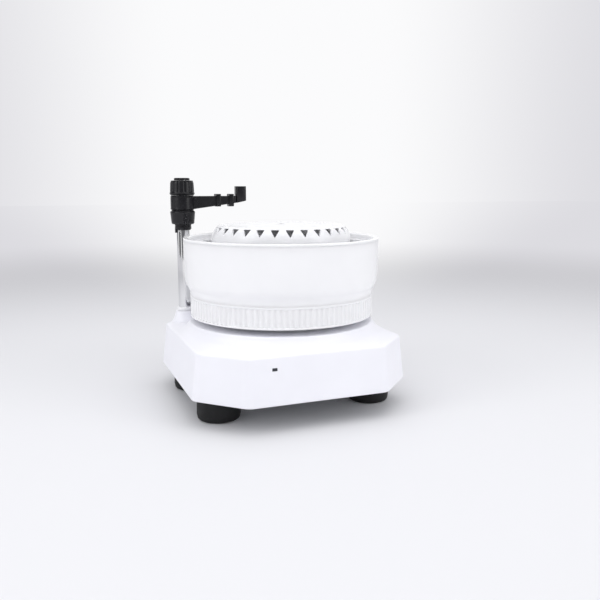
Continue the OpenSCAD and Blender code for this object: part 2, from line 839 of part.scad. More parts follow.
module platter() color("gainsboro") at_axis() {
    plate_low = platter_top - platter_t;
    difference() {
        union() {
            translate([0, 0, plate_low]) cylinder(r = platter_r, h = platter_t);
            translate([0, 0, platter_low]) {
                cylinder(r = spacer_r + 6, h = plate_low - platter_low + 1);
                ring(platter_r, platter_r - 3, plate_low - platter_low + 1);
                for (a = [0 : 120 : 240]) rotate(a) translate([peg_circle, 0, 0])
                    cylinder(r = peg_r + 3, h = plate_low - platter_low + 1);
            }
            // skirt outside the splash collar
            translate([0, 0, well_z + 2])
                ring(splash_r + splash_wall + 5, splash_r + splash_wall + 2, plate_low - well_z - 1);
            for (a = [60 : 120 : 300]) rotate(a)
                translate([splash_r + splash_wall + 4, -1, platter_low + 2])
                    cube([platter_r - splash_r - splash_wall - 6, 2, plate_low - platter_low - 1]);
        }
        translate([0, 0, platter_low - 1]) cylinder(r = spindle_r + SEAT / 2, h = 30);
        for (a = [0 : 120 : 240]) rotate(a) translate([peg_circle, 0, platter_low + 3])
            cylinder(r = peg_r + SEAT / 2, h = 30);
    }
}

module drive_pegs() color("silver") at_axis(platter_low + 3) {
    for (a = [0 : 120 : 240]) rotate(a) translate([peg_circle, 0, 0]) {
        cylinder(r = peg_r, h = platter_top + peg_up - platter_low - 4);
        translate([0, 0, platter_top + peg_up - platter_low - 4])
            cylinder(r1 = peg_r, r2 = peg_r - 1, h = 1);
    }
}

module spindle_screw() color("silver") at_axis(platter_top) {
    ring(spindle_r + 4, 2 + SEAT, 1);
    translate([0, 0, 1]) screw_down(2, platter_t + 8, 3.6, 3);
}

module motor_shaft() color("silver") at_motor(motor_z + 4)
    cylinder(r = motor_shaft_r, h = gear_z + gear_w + 1 - motor_z - 4);

module motor_pinion() color("ivory") at_motor(gear_z + 0.3)
    rotate(180 / pinion_teeth * (pinion_teeth % 2 == 0 ? 1 : 0))
        spur_gear(pinion_teeth, gear_w + 0.7, motor_shaft_r + SEAT / 2);

// ---- Bowl assembly ----

// The S-curve between the narrow lower part and the wide upper part: height, then share
function shoulder_curve(drop) = [
    for (t = [0 : 0.125 : 1]) [4 + t * 9, drop * 0.78 * (1 - cos(180 * t)) / 2]
];

module bowl() color("white") difference() {
    grip_top = bowl_z + grip_h;
    at_axis() {
        rotate_extrude($fn = 144) polygon(concat(
            [[0, bowl_z], [grip_in_r - 1, bowl_z], [grip_in_r, bowl_z + 1], [grip_in_r, grip_top]],
            [[bowl_low_r, grip_top]],
            [for (s = shoulder_curve(bowl_draw_in)) [bowl_low_r + s[1], grip_top + s[0]]],
            [[bowl_r, rim_z - 20], [bowl_r, rim_z - SEAT]],
            [[bowl_r - bowl_wall, rim_z - SEAT], [bowl_r - bowl_wall, rim_z - 20]],
            [
                for (i = [8 : -1 : 0]) let (s = shoulder_curve(bowl_draw_in)[i])
                    [bowl_low_r - bowl_wall + s[1], grip_top + s[0] + 1]
            ],
            [[bowl_low_in_r, grip_top - 1], [bowl_low_in_r, bowl_floor], [0, bowl_floor]]
        ));
        // hub for the centre post, and a cup over each drive peg
        translate([0, 0, bowl_z]) cylinder(r = pocket_r + 3, h = bowl_hub_top - bowl_z);
        for (a = [0 : 120 : 240]) rotate(a) translate([peg_circle, 0, bowl_z])
            cylinder(r = peg_r + peg_play + 2.2, h = peg_up + 3.5);
    }
    at_axis(bowl_z - 1) {
        cylinder(r = pocket_r, h = pocket_top - bowl_z + 1);
        cylinder(r = 3 + SEAT / 2, h = bowl_hub_top - bowl_z + 2);
        for (a = [0 : 120 : 240]) rotate(a) translate([peg_circle, 0, 0])
            cylinder(r = peg_r + peg_play, h = peg_up + 2);
    }
}

module grip_ring() color("white") at_axis(bowl_z) {
    edge = 1.9;
    bead = 3.1;
    lap = 0.4;
    inner_r = grip_in_r + SEAT;
    flute_r = bowl_low_r - 0.3;
    difference() {
        union() {
            // plain edge below the flutes
            rotate_extrude($fn = 180) polygon([
                [inner_r - 2, SEAT], [bowl_low_r - 0.5, SEAT], [bowl_low_r, SEAT + 0.5],
                [bowl_low_r, edge], [inner_r - 2, edge]
            ]);
            translate([0, 0, edge - lap]) linear_extrude(grip_h - edge - bead + 2 * lap) polygon([
                for (i = [0 : grip_count - 1], s = [[0.1, 0], [0.4, 0], [0.6, 1], [0.9, 1]])
                    let (a = (i + s[0]) * 360 / grip_count, r = flute_r - grip_depth * s[1])
                        [r * cos(a), r * sin(a)]
            ]);
            // raised bead above them
            rotate_extrude($fn = 180) polygon([
                [inner_r - 2, grip_h - bead], [bowl_low_r, grip_h - bead],
                [bowl_low_r + lap, grip_h - bead + 1], [bowl_low_r + lap, grip_h - 1],
                [bowl_low_r, grip_h - SEAT], [inner_r - 2, grip_h - SEAT]
            ]);
        }
        translate([0, 0, -1]) cylinder(r = inner_r, h = grip_h + 2, $fn = 180);
    }
}

// Rounded crest on the bowl's wall, with a ledge around the tube channel inside it
module rim_ring() color("white") at_axis() {
    seat_r = bowl_r - bowl_wall - SEAT;
    crest_in_r = bowl_r - crest_w;
    ledge_z = rim_top - ledge_drop;
    ledge_t = 2.6;
    inner_round = 2.2;
    rotate_extrude($fn = 144) polygon([
        [rim_in_r, ledge_z - ledge_t], [rim_in_r, ledge_z - 0.5], [rim_in_r + 0.5, ledge_z],
        [crest_in_r, ledge_z],
        for (a = [180 : -22.5 : 90])
            [crest_in_r + inner_round + inner_round * cos(a), rim_top - inner_round + inner_round * sin(a)],
        for (a = [90 : -15 : 0])
            [bowl_r - rim_h + rim_h * cos(a), rim_z + rim_h * sin(a)],
        [seat_r, rim_z], [seat_r, ledge_z - ledge_t]
    ]);
}

// Ring that carries the tube ends, with a dimple for each tube
module tube_support() color("white") at_axis(support_z) difference() {
    ring(bowl_low_in_r - 0.4, support_in_r, support_t);
    for (i = [0 : tube_count - 1]) rotate(rest_turn + i * window_step)
        translate([0, -pitch_r, support_t - 2]) cylinder(r = tube_d / 2 - 0.5, h = 3, $fn = 32);
}

// Fluted drum that spaces the tubes, one flute for each, with a hub inside the crown
module tube_guide() color("white") at_axis(guide_z) {
    height = crown_z - guide_z - SEAT;
    hub_up = crown_h - crown_wall - 0.5;
    turn = rest_turn - 90;
    inner_r = guide_r - flute_depth - guide_wall;
    difference() {
        union() {
            linear_extrude(height) polygon([
                for (i = [0 : tube_count - 1],
                     s = [[-0.42, 0], [-0.12, 0.9], [0, 1], [0.12, 0.9], [0.42, 0]])
                    let (a = turn + (i + s[0]) * window_step, r = guide_r - flute_depth * s[1])
                        [r * cos(a), r * sin(a)]
            ]);
            translate([0, 0, height - 1]) cylinder(r = crown_hub_r, h = hub_up + 1);
        }
        translate([0, 0, -1]) cylinder(r = inner_r, h = height - guide_top_t + 1);
        translate([0, 0, height - guide_top_t - 1])
            cylinder(r = crown_hub_r - 2, h = hub_up + guide_top_t - 1);
        cylinder(r = post_r + SEAT, h = height + hub_up + 1);
        for (a = [0 : 60 : 300]) rotate(a)
            translate([inner_r * 0.6, 0, height - guide_top_t - 1]) cylinder(r = 12, h = 5);
    }
}

function crown_arc(inset) = [
    for (a = [0 : 15 : 90])
        [crown_flat_r + (shoulder_w - inset) * cos(a), crown_z + (crown_h - 0.8 - inset) * sin(a)]
];

module crown() color("white") at_axis() difference() {
    rotate_extrude($fn = 144) polygon(concat(
        crown_arc(0), [[0, crown_top]], [[0, crown_top - crown_wall]],
        [for (i = [6 : -1 : 0]) crown_arc(crown_wall)[i]]
    ));
    for (i = [0 : tube_count - 1]) rotate(rest_turn + i * window_step)
        translate([0, 0, crown_z + window_z]) rotate([90, 0, 0])
            translate([0, 0, crown_flat_r - 4]) linear_extrude(shoulder_w + 8)
                polygon([[0, 0], [window_w / 2, window_h], [-window_w / 2, window_h]]);
    translate([0, 0, crown_z]) cylinder(r = 2 + SEAT, h = crown_h + 1, $fn = 24);
    translate([0, 0, crown_top - 1]) cylinder(r = 4.2, h = 2);
}

module centre_post() color("silver") at_axis() difference() {
    union() {
        translate([0, 0, bowl_hub_top])
            cylinder(r = post_r, h = crown_top - crown_wall - SEAT - bowl_hub_top);
        translate([0, 0, pocket_top]) cylinder(r = 3, h = bowl_hub_top - pocket_top + EPS);
    }
    translate([0, 0, crown_top - 14]) cylinder(r = 2 + SEAT / 2, h = 14, $fn = 24);
}

module crown_screw() color("silver") at_axis(crown_top - 1) screw_down(2, 9, 3.9, 1);

// ---- Column and head ----

module column_tube() color("silver") at_column(column_low)
    ring(column_r, column_r - column_wall, column_top - column_low);

module column_bush() color("white") at_column(bush_z) difference() {
    rotate_extrude() polygon([
        [0, 0], [column_r + 0.9, 0], [column_r + 0.9, 1.8], [column_r + 1.6, 1.8],
        [column_r + 1.6, bush_h - 0.6], [column_r + 1, bush_h], [0, bush_h]
    ]);
    translate([0, 0, -1]) cylinder(r = column_r + SEAT / 2, h = bush_h + 2);
}

module column_nut() color("silver") at_column(boss_low - 6) difference() {
    cylinder(r = column_r + 5, h = 6, $fn = 6);
    translate([0, 0, -1]) cylinder(r = column_r + SEAT / 2, h = 8);
}

// Collar on the column's end, with the neck that the height knob turns on
module collar() color("#222222") at_column(collar_z) difference() {
    union() {
        rotate_extrude() polygon([
            [0, 0], [collar_r - 1.4, 0], [collar_r, 1.6], [collar_r, collar_h], [neck_r, collar_h],
            [neck_r, collar_h + neck_h - 0.6], [neck_r - 0.6, collar_h + neck_h],
            [0, collar_h + neck_h]
        ]);
        translate([-collar_r, -2, -3]) cube([collar_r - column_r - 0.2, 4, 5]);
    }
    translate([0, 0, -1]) cylinder(r = column_r + SEAT / 2, h = column_top - collar_z + 1 + SEAT);
    cylinder(r = rod_r + RUN, h = 40);
}

// Grip flutes cut into a knob: count grooves of radius r, deep into the surface by depth
module knob_flutes(count, at_r, r, depth, h) {
    for (i = [0 : count - 1]) rotate((i + 0.5) * 360 / count)
        translate([at_r + r - depth, 0, -1]) cylinder(r = r, h = h + 2, $fn = 24);
}

module height_knob() color("#222222") at_column(height_knob_z) difference() {
    rotate_extrude() polygon([
        [0, 0], [knob_r - 2.4, 0], [knob_r - 1.3, 1.1], [knob_r - 0.2, knob_h - 3.6],
        [knob_r, knob_h - 2.4], [knob_r - 0.4, knob_h - 1.4], [knob_r - 1.6, knob_h], [0, knob_h]
    ]);
    translate([0, 0, -1]) cylinder(r = neck_r + RUN, h = neck_h + 1.2);
    cylinder(r = rod_r + FREE, h = knob_h + 1);
}

module inner_rod() color("silver") at_column(rod_low)
    cylinder(r = rod_r, h = cap_z - rod_low);

module rod_collar() color("#2a2a2c") at_column(rod_collar_z)
    ring(hub_r - 0.9, rod_r + SEAT / 2, rod_collar_h);

// Plastic ring at the rod's lower end that slides in the column tube
module rod_glide() color("white") at_column(rod_low - glide_h - SEAT) difference() {
    cylinder(r = column_r - column_wall - RUN, h = glide_h);
    translate([0, 0, -1]) cylinder(r = 2.5, h = glide_h - 2);
}

module friction_washer() color("#2a2a2c") at_column(washer_z)
    ring(hub_r - 0.5, rod_r + SEAT / 2, washer_h);

module end_cap() color("#1c1c1e") at_column(cap_z)
    rotate_extrude() polygon([
        [0, 0], [cap_r, 0], [cap_r, cap_h - 0.8], [cap_r - 0.8, cap_h], [0, cap_h]
    ]);

module swing_knob() color("#222222") at_column(swing_knob_z) difference() {
    rotate_extrude() polygon([
        [0, 0], [knob_r - 1.6, 0], [knob_r - 0.4, 1.2], [knob_r, 2.6], [knob_r - 0.5, 3.6],
        [knob_r - 1.1, swing_knob_h - 1.4], [knob_r - 2.1, swing_knob_h], [0, swing_knob_h]
    ]);
    translate([0, 0, -1]) cylinder(r = rod_r + FREE, h = swing_knob_h + 2);
    knob_flutes(12, knob_r - 0.5, 2.6, 0.9, swing_knob_h);
}

// ---- Arm ----

// Underside of the arm at a distance from the column
function arm_low(x) = arm_root_low + max(0, x - hub_r) * arm_slope;

// Depth of the arm's upright outline between two distances from the column
module arm_slab(x0, x1, width) {
    translate([0, width / 2, 0]) rotate([90, 0, 0]) linear_extrude(width) polygon([
        [x0, arm_low(x0)], [hub_r, arm_low(hub_r)], [x1, arm_low(x1)], [x1, arm_top], [x0, arm_top]
    ]);
}

module swing_arm() color("#222222") at_column() difference() {
    union() {
        translate([0, 0, hub_z]) rotate_extrude() polygon([
            [0, 0], [hub_r - 0.6, 0], [hub_r + 0.15, 0.5], [hub_r + 0.15, 1.5], [hub_r, 1.8],
            [hub_r, hub_h - 0.6], [hub_r - 0.6, hub_h], [0, hub_h]
        ]);
        arm_slab(arm_root_x, arm_end_x, arm_w);
        // tenon that carries the holder
        translate([arm_end_x - EPS, -tenon_w / 2, arm_top - tenon_h - 1.5])
            cube([tenon_l, tenon_w, tenon_h]);
    }
    translate([0, 0, hub_z - 1]) cylinder(r = rod_r + RUN, h = hub_h + 2);
}

// Two bands pushed over the arm, each with a groove for the tubing on top
module tubing_clips() color("#1c1c1e") at_column() {
    low = arm_low(clip_starts[0]) - clip_under;
    half_w = arm_w / 2 + clip_wall;
    round_r = 2.6;
    for (x = clip_starts) difference() {
        hull() {
            for (s = [-1, 1]) translate([x, s * (half_w - round_r), low + round_r])
                rotate([0, 90, 0]) cylinder(r = round_r, h = clip_l, $fn = 32);
            translate([x, -half_w, arm_top + clip_up - 3]) cube([clip_l, 2 * half_w, 3]);
        }
        translate([0, arm_w / 2 + SEAT, 0]) rotate([90, 0, 0]) linear_extrude(arm_w + 2 * SEAT)
            polygon([
                [x - 1, arm_low(x - 1) - SEAT], [x + clip_l + 1, arm_low(x + clip_l + 1) - SEAT],
                [x + clip_l + 1, arm_top + SEAT], [x - 1, arm_top + SEAT]
            ]);
        translate([x - 1, 0, arm_top + clip_up]) rotate([0, 90, 0])
            cylinder(r = tubing_r, h = clip_l + 2);
    }
}

module tubing_holder() color("#222222") at_column() difference() {
    corner = 3.5;
    half_w = arm_w / 2 + 2;
    hull() {
        for (x = [holder_x + corner, holder_x + holder_l - corner], s = [-1, 1])
            translate([x, s * (half_w - corner), arm_low(holder_x)])
                cylinder(r = corner, h = arm_top + holder_up - arm_low(holder_x), $fn = 32);
    }
    // sloped underside in line with the arm
    translate([holder_x, 0, arm_low(holder_x)]) rotate([0, -atan(arm_slope) - 4, 0])
        translate([-10, -20, -20]) cube([60, 40, 20]);
    // pocket for the tenon
    translate([holder_x - 1, -tenon_w / 2 - SEAT, arm_top - tenon_h - 1.5 - SEAT])
        cube([tenon_l + 1, tenon_w + 2 * SEAT, tenon_h + 2 * SEAT]);
    translate([arm_reach, 0, 0]) {
        cylinder(r = tubing_r, h = arm_top + holder_up + 1);
        translate([0, 0, arm_top + holder_up - 8]) cylinder(r = tubing_r + 1.7, h = 9);
    }
}

// ---- Nodes ----

base_shell();
base_plate();
plate_screws();
foot(-1, -1);  // foot_front_left
foot(1, -1);  // foot_front_right
foot(-1, 1);  // foot_rear_left
foot(1, 1);  // foot_rear_right
foot_screws();
foot_nuts();
rear_panel();
panel_screws();
power_socket();
signal_socket();
socket_nuts();
status_lens();
lamp_board();
control_board();
board_spacers();
board_screws();
chassis_plate();
chassis_screws();
bearing_housing();
housing_screws();
upper_bearing();
lower_bearing();
stepper_motor();
motor_screws();
home_sensor();
column_tube();
column_bush();
column_nut();
collar();
spindle();
retaining_ring();
index_disc();
drive_gear();
spindle_spacer();
platter();
drive_pegs();
spindle_screw();
motor_shaft();
motor_pinion();
bowl();
grip_ring();
rim_ring();
tube_support();
tube_guide();
crown();
centre_post();
crown_screw();
height_knob();
inner_rod();
rod_collar();
rod_glide();
friction_washer();
end_cap();
swing_arm();
tubing_clips();
tubing_holder();
swing_knob();
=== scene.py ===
"""Benchtop fraction collector: the looks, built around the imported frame."""
import json
import math

import bmesh
import bpy
import numpy as np
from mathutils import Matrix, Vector


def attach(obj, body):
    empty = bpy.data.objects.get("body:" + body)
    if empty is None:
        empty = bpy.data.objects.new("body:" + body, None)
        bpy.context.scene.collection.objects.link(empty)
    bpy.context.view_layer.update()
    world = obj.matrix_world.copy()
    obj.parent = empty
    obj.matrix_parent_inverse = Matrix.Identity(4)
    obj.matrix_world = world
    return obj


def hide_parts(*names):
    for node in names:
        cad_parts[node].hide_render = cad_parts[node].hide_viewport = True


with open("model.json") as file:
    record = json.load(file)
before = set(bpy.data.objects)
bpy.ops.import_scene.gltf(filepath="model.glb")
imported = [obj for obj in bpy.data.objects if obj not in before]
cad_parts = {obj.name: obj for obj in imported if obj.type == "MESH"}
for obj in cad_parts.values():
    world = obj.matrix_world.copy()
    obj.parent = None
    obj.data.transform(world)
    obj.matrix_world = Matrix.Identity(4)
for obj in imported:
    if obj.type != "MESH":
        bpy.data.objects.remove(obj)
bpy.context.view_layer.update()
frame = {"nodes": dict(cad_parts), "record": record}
SCENE = bpy.context.scene
MM = 0.001
TAU = 2 * math.pi

# ---- Sizes, in millimetres: the same named values as the solids ----

AXIS = (3.0, -4.0)
HALF_W, HALF_D = 122.463, 129.963
CORNER_CUT, EDGE_R, DRAFT, WALL = 45.5, 14.0, 5.2, 3.0
BASE_Z, DECK_Z, DAIS_Z, DAIS_TOP = 29.0, 77.8, 82.5, 92.0
DAIS_R, PLATEAU_R, WELL_R = 112.063, 105.663, 81.663
WELL_Z, WELL_UNDER = 82.0, 79.0
SPLASH_R, SPLASH_OUT = 20.0, 22.5
FOOT_X, FOOT_Y, FOOT_R = 88.963, 59.963, 23.5
BOWL_Z, RIM_Z, RIM_TOP, LEDGE_Z = 98.8, 184.0, 187.0, 180.0
BOWL_R, BOWL_LOW_R, BOWL_WALL = 111.263, 104.963, 3.0
RIM_IN_R, CREST_W = 100.263, 6.3
GRIP_IN_R, GRIP_H, GRIP_COUNT = 102.063, 24.4, 108
TUBES, GUIDE_R, GUIDE_Z, FLUTE = 30, 79.263, 106.9, 3.5
REST_TURN = -0.85
CROWN_Z, CROWN_H, SHOULDER_W, CROWN_WALL, CROWN_HUB_R = 182.8, 18.6, 11.0, 2.0, 23.5
WINDOW_W, WINDOW_H, WINDOW_Z = 9.4, 8.1, 7.6
COLUMN = (-92.0080, 83.0588)
COLUMN_R, COLUMN_LOW, COLUMN_TOP = 8.0, 50.0, 196.1
TURRET_TOP = 92.5
COLLAR_Z, COLLAR_R, NECK_R = 191.3, 9.9, 9.1
KNOB_R, KNOB_H, SWING_KNOB_H = 15.0, 16.4, 17.4
HEIGHT_KNOB_Z, SWING_KNOB_Z, CAP_Z = 198.6, 233.2, 250.9
HUB_R, HUB_Z, HUB_TOP = 14.2, 216.0, 232.2
ROD_R = 6.0
ARM_W, ARM_TOP, ARM_ROOT_LOW, ARM_END = 9.0, 232.1, 216.05, 66.3
ARM_SLOPE = (ARM_TOP - 8.6 - ARM_ROOT_LOW) / (ARM_END - HUB_R)
CLIP_L, CLIP_STARTS = 5.8, (ARM_END - 25.6, ARM_END - 9.2)
HOLDER_X, HOLDER_L, HOLDER_UP, ARM_REACH = 66.4, 12.8, 11.8, 72.8
TENON_Z, POCKET_Z = (225.65, 230.55), (225.5, 230.7)
ROD_RING_Z, WASHER_Z = (215.3, 215.9), (232.3, 232.9)
TUBING_R = 1.6
LENS_X, LENS_Z = -48.5, 65.5
LENS_HALF, LENS_WINDOW_HALF, REAR_WINDOW_HALF = (2.7, 1.55), (2.78, 1.63), (35, 13)
REAR_WINDOW_Y, REAR_WINDOW_Z = (118.0, 140.0), 52
COLUMN_BORE_R = 8.05

# ---- Camera ----

CAM_PLACE = (-0.25744, -0.71982, 0.24213)
CAM_AZIMUTH, CAM_PITCH, CAM_LENS = 21.63, 9.65, 39.64


def add_camera():
    data = bpy.data.cameras.new("camera")
    data.sensor_width = 36.0
    data.lens = CAM_LENS
    data.clip_start, data.clip_end = 0.01, 60.0
    cam = bpy.data.objects.new("camera", data)
    SCENE.collection.objects.link(cam)
    az, dip = math.radians(CAM_AZIMUTH), math.radians(CAM_PITCH)
    ahead = Vector((math.sin(az) * math.cos(dip), math.cos(az) * math.cos(dip), -math.sin(dip)))
    cam.location = CAM_PLACE
    cam.rotation_euler = ahead.to_track_quat("-Z", "Y").to_euler()
    SCENE.camera = cam


# ---- Materials ----


class Nodes:
    """Short way to add and join shader nodes."""

    def __init__(self, mat):
        mat.use_nodes = True
        self.tree = mat.node_tree
        self.shader = self.tree.nodes["Principled BSDF"]

    def add(self, kind, **values):
        node = self.tree.nodes.new(kind)
        for key, value in values.items():
            if key in node.inputs:
                node.inputs[key].default_value = value
            else:
                setattr(node, key, value)
        return node

    def join(self, out, into):
        self.tree.links.new(out, into)

    def noise(self, period, detail=3.0, stretch=None):
        """Noise in the piece's own space; period is the size of its features in metres."""
        place = self.add("ShaderNodeTexCoord").outputs["Object"]
        if stretch:
            mapping = self.add("ShaderNodeMapping")
            mapping.inputs["Scale"].default_value = stretch
            self.join(place, mapping.inputs["Vector"])
            place = mapping.outputs["Vector"]
        tex = self.add("ShaderNodeTexNoise", Scale=1.0 / period, Detail=detail, Roughness=0.55)
        self.join(place, tex.inputs["Vector"])
        return tex.outputs["Fac"]

    def remap(self, value, start, end, kind="SMOOTHSTEP"):
        """Map a value from the range start to the range end."""
        node = self.add("ShaderNodeMapRange", interpolation_type=kind)
        for key, number in zip(("From Min", "From Max", "To Min", "To Max"), (*start, *end)):
            node.inputs[key].default_value = number
        self.join(value, node.inputs["Value"])
        return node.outputs["Result"]

    def spread(self, value, low, high):
        """Map the middle of a noise to the range from low to high."""
        return self.remap(value, (0.3, 0.7), (low, high), "LINEAR")

    def blend(self, share, low, high):
        """Colour between two, each a plain colour or another node's colour."""
        mix = self.add("ShaderNodeMix", data_type="RGBA")
        self.join(share, mix.inputs[0])
        for socket, colour in ((mix.inputs[6], low), (mix.inputs[7], high)):
            if isinstance(colour, tuple):
                socket.default_value = (*colour, 1)
            else:
                self.join(colour, socket)
        return mix.outputs[2]

    def tint(self, rgb, amount, value):
        """Colour that wanders around rgb by amount, up and down."""
        low = tuple(c * (1 - amount) for c in rgb)
        high = tuple(min(1.0, c * (1 + amount)) for c in rgb)
        self.join(self.blend(value, low, high), self.shader.inputs["Base Color"])

    def bump(self, value, height, strength=1.0):
        node = self.add("ShaderNodeBump", Distance=height, Strength=strength)
        self.join(value, node.inputs["Height"])
        self.join(node.outputs["Normal"], self.shader.inputs["Normal"])


def plastic(name, rgb, rough, grain=0.0006, height=0.00002, wander=0.012, rough_span=0.05,
            coat=0.0, specular=0.5, glow_through=0.0):
    """Moulded plastic: fine spark-eroded grain, faint flow clouds and uneven gloss."""
    mat = bpy.data.materials.new(name)
    n = Nodes(mat)
    n.tint(rgb, wander, n.spread(n.noise(0.045, 2.0), 0.0, 1.0))
    n.join(n.spread(n.noise(0.012, 4.0), rough - rough_span, rough + rough_span),
           n.shader.inputs["Roughness"])
    n.bump(n.noise(grain, 2.0), height, 0.6)
    n.shader.inputs["Coat Weight"].default_value = coat
    n.shader.inputs["Coat Roughness"].default_value = 0.12
    n.shader.inputs["Specular IOR Level"].default_value = specular
    n.shader.inputs["Subsurface Weight"].default_value = glow_through
    n.shader.inputs["Subsurface Radius"].default_value = (1.0, 1.0, 1.0)
    n.shader.inputs["Subsurface Scale"].default_value = 0.004
    return mat


def metal(name, rgb, rough, stretch, grain=0.0012, height=0.000006, wander=0.03, rough_span=0.03):
    """Turned or drawn metal: fine lines along one direction."""
    mat = bpy.data.materials.new(name)
    n = Nodes(mat)
    n.tint(rgb, wander, n.spread(n.noise(0.03, 3.0), 0.0, 1.0))
    lines = n.noise(grain, 4.0, stretch)
    n.join(n.spread(lines, rough - rough_span, rough + rough_span), n.shader.inputs["Roughness"])
    n.bump(lines, height, 0.5)
    n.shader.inputs["Metallic"].default_value = 1.0
    return mat


ALONG_Z, ACROSS_Z, EVEN = (1.0, 1.0, 0.03), (0.05, 0.05, 1.0), (1.0, 1.0, 1.0)

MATS = {
    "housing": plastic("housing", (0.895, 0.895, 0.945), 0.42, rough_span=0.04),
    "bowl_white": plastic("bowl_white", (0.93, 0.93, 0.955), 0.24, grain=0.003, height=0.000003,
                          rough_span=0.03, coat=0.1, glow_through=0.5),
    "crown_white": plastic("crown_white", (0.93, 0.93, 0.955), 0.24, grain=0.003, height=0.000003,
                           rough_span=0.03, coat=0.1, glow_through=0.35),
    "inner_white": plastic("inner_white", (0.93, 0.93, 0.945), 0.45),
    "black_plastic": plastic("black_plastic", (0.0075, 0.0072, 0.0095), 0.30, grain=0.0005,
                             height=0.00001, wander=0.08, rough_span=0.05, specular=0.4),
    "cap_black": plastic("cap_black", (0.0065, 0.0065, 0.008), 0.22, height=0.000008, wander=0.08,
                         specular=0.4),
    "foot_rubber": plastic("foot_rubber", (0.012, 0.012, 0.013), 0.62, grain=0.0008,
                           height=0.00006, wander=0.12, rough_span=0.08, specular=0.35),
    "column_steel": metal("column_steel", (0.80, 0.805, 0.815), 0.07, ALONG_Z, height=0.000002),
    "screw_steel": metal("screw_steel", (0.55, 0.55, 0.56), 0.30, EVEN),
    "plate_steel": plastic("plate_steel", (0.33, 0.34, 0.36), 0.48, grain=0.0009, height=0.00005,
                           wander=0.04),
    "aluminium": metal("aluminium", (0.74, 0.745, 0.76), 0.33, ACROSS_Z),
    "brass": metal("brass", (0.68, 0.5, 0.2), 0.3, ACROSS_Z),
    "board_green": plastic("board_green", (0.02, 0.14, 0.06), 0.35, wander=0.15),
    "gear_natural": plastic("gear_natural", (0.72, 0.7, 0.62), 0.4, wander=0.03),
    "lens_dark": plastic("lens_dark", (0.02, 0.022, 0.03), 0.12, height=0.000004, coat=0.6),
    "motor_black": plastic("motor_black", (0.03, 0.03, 0.033), 0.45, wander=0.1),
}
SLOT_OF = {row["node"]: row["material_slot"] for row in frame["record"]["subparts"]}


def dress_frame():
    """Give each node of the frame the material of its slot."""
    for name, obj in frame["nodes"].items():
        mat = MATS[SLOT_OF[name]]
        if not obj.material_slots:
            obj.data.materials.append(mat)
        for socket in obj.material_slots:
            socket.material = mat


# ---- Mesh tools ----


def rounded(points, steps=5):
    """Closed outline with rounded corners; each point is (x, y) or (x, y, radius)."""
    out = []
    count = len(points)
    for i, point in enumerate(points):
        p = np.array(point[:2], float)
        radius = point[2] if len(point) > 2 else 0.0
        a = np.array(points[i - 1][:2], float) - p
        b = np.array(points[(i + 1) % count][:2], float) - p
        la, lb = np.linalg.norm(a), np.linalg.norm(b)
        if radius <= 0 or la < 1e-9 or lb < 1e-9:
            out.append(tuple(p))
            continue
        a, b = a / la, b / lb
        half = math.acos(max(-1.0, min(1.0, float(a @ b)))) / 2
        if half > 1.5:
            out.append(tuple(p))
            continue
        reach = min(radius / math.tan(half), 0.48 * la, 0.48 * lb)
        start, end = p + a * reach, p + b * reach
        for k in range(steps + 1):
            t = k / steps
            out.append(tuple((1 - t) ** 2 * start + 2 * t * (1 - t) * p + t * t * end))
    return out


def rectangle(half_w, half_h, radius, steps):
    """Rectangle about the origin with rounded corners."""
    return rounded([(-half_w, -half_h, radius), (half_w, -half_h, radius),
                    (half_w, half_h, radius), (-half_w, half_h, radius)], steps)


def smooth_curve(points, steps=6):
    """Open line through the points, curved between them."""
    pts = [points[0]] + list(points) + [points[-1]]
    out = []
    for i in range(1, len(pts) - 2):
        p0, p1, p2, p3 = (np.array(p, float) for p in pts[i - 1:i + 3])
        for k in range(steps):
            t = k / steps
            out.append(tuple(0.5 * (2 * p1 + (p2 - p0) * t + (2 * p0 - 5 * p1 + 4 * p2 - p3) * t ** 2
                                    + (3 * p1 - p0 - 3 * p2 + p3) * t ** 3)))
    out.append(tuple(points[-1]))
    return out


def make(name, verts, faces, slot, body, replaces=(), angle=32.0, mat=None):
    """Piece from points in millimetres, cleaned, smooth-shaded and tied to its body."""
    mesh = bpy.data.meshes.new(name)
    mesh.from_pydata([tuple(c * MM for c in v) for v in verts], [], faces)
    obj = bpy.data.objects.new(name, mesh)
    SCENE.collection.objects.link(obj)
    clean(obj)
    obj.data.materials.append(mat or MATS[slot])
    shade(obj, angle)
    if body:
        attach(obj, body)
    if replaces:
        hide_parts(*replaces)
    return obj


def clean(obj):
    bm = bmesh.new()
    bm.from_mesh(obj.data)
    bmesh.ops.remove_doubles(bm, verts=bm.verts, dist=1e-7)
    bmesh.ops.dissolve_degenerate(bm, edges=bm.edges, dist=1e-8)
    bmesh.ops.recalc_face_normals(bm, faces=bm.faces)
    bm.to_mesh(obj.data)
    bm.free()


def shade(obj, angle=32.0):
    for face in obj.data.polygons:
        face.use_smooth = True
    obj.data.set_sharp_from_angle(angle=math.radians(angle))


def loft(rings):
    """Closed skin through rings of equal length, first ring joined to the last."""
    n = len(rings[0])
    verts = [p for ring in rings for p in ring]
    faces = []
    for i in range(len(rings)):
        a, b = i * n, ((i + 1) % len(rings)) * n
        faces += [(a + k, a + (k + 1) % n, b + (k + 1) % n, b + k) for k in range(n)]
    return verts, faces


def lathe(profile, at, n=192, warp=None):
    """Closed profile of (radius, height) turned around a vertical line; warp may change a radius."""
    rings = []
    for r, z in profile:
        ring = []
        for k in range(n):
            a = TAU * k / n
            rr = warp(a, r, z) if warp else r
            ring.append((at[0] + rr * math.cos(a), at[1] + rr * math.sin(a), z))
        rings.append(ring)
    return loft(rings)


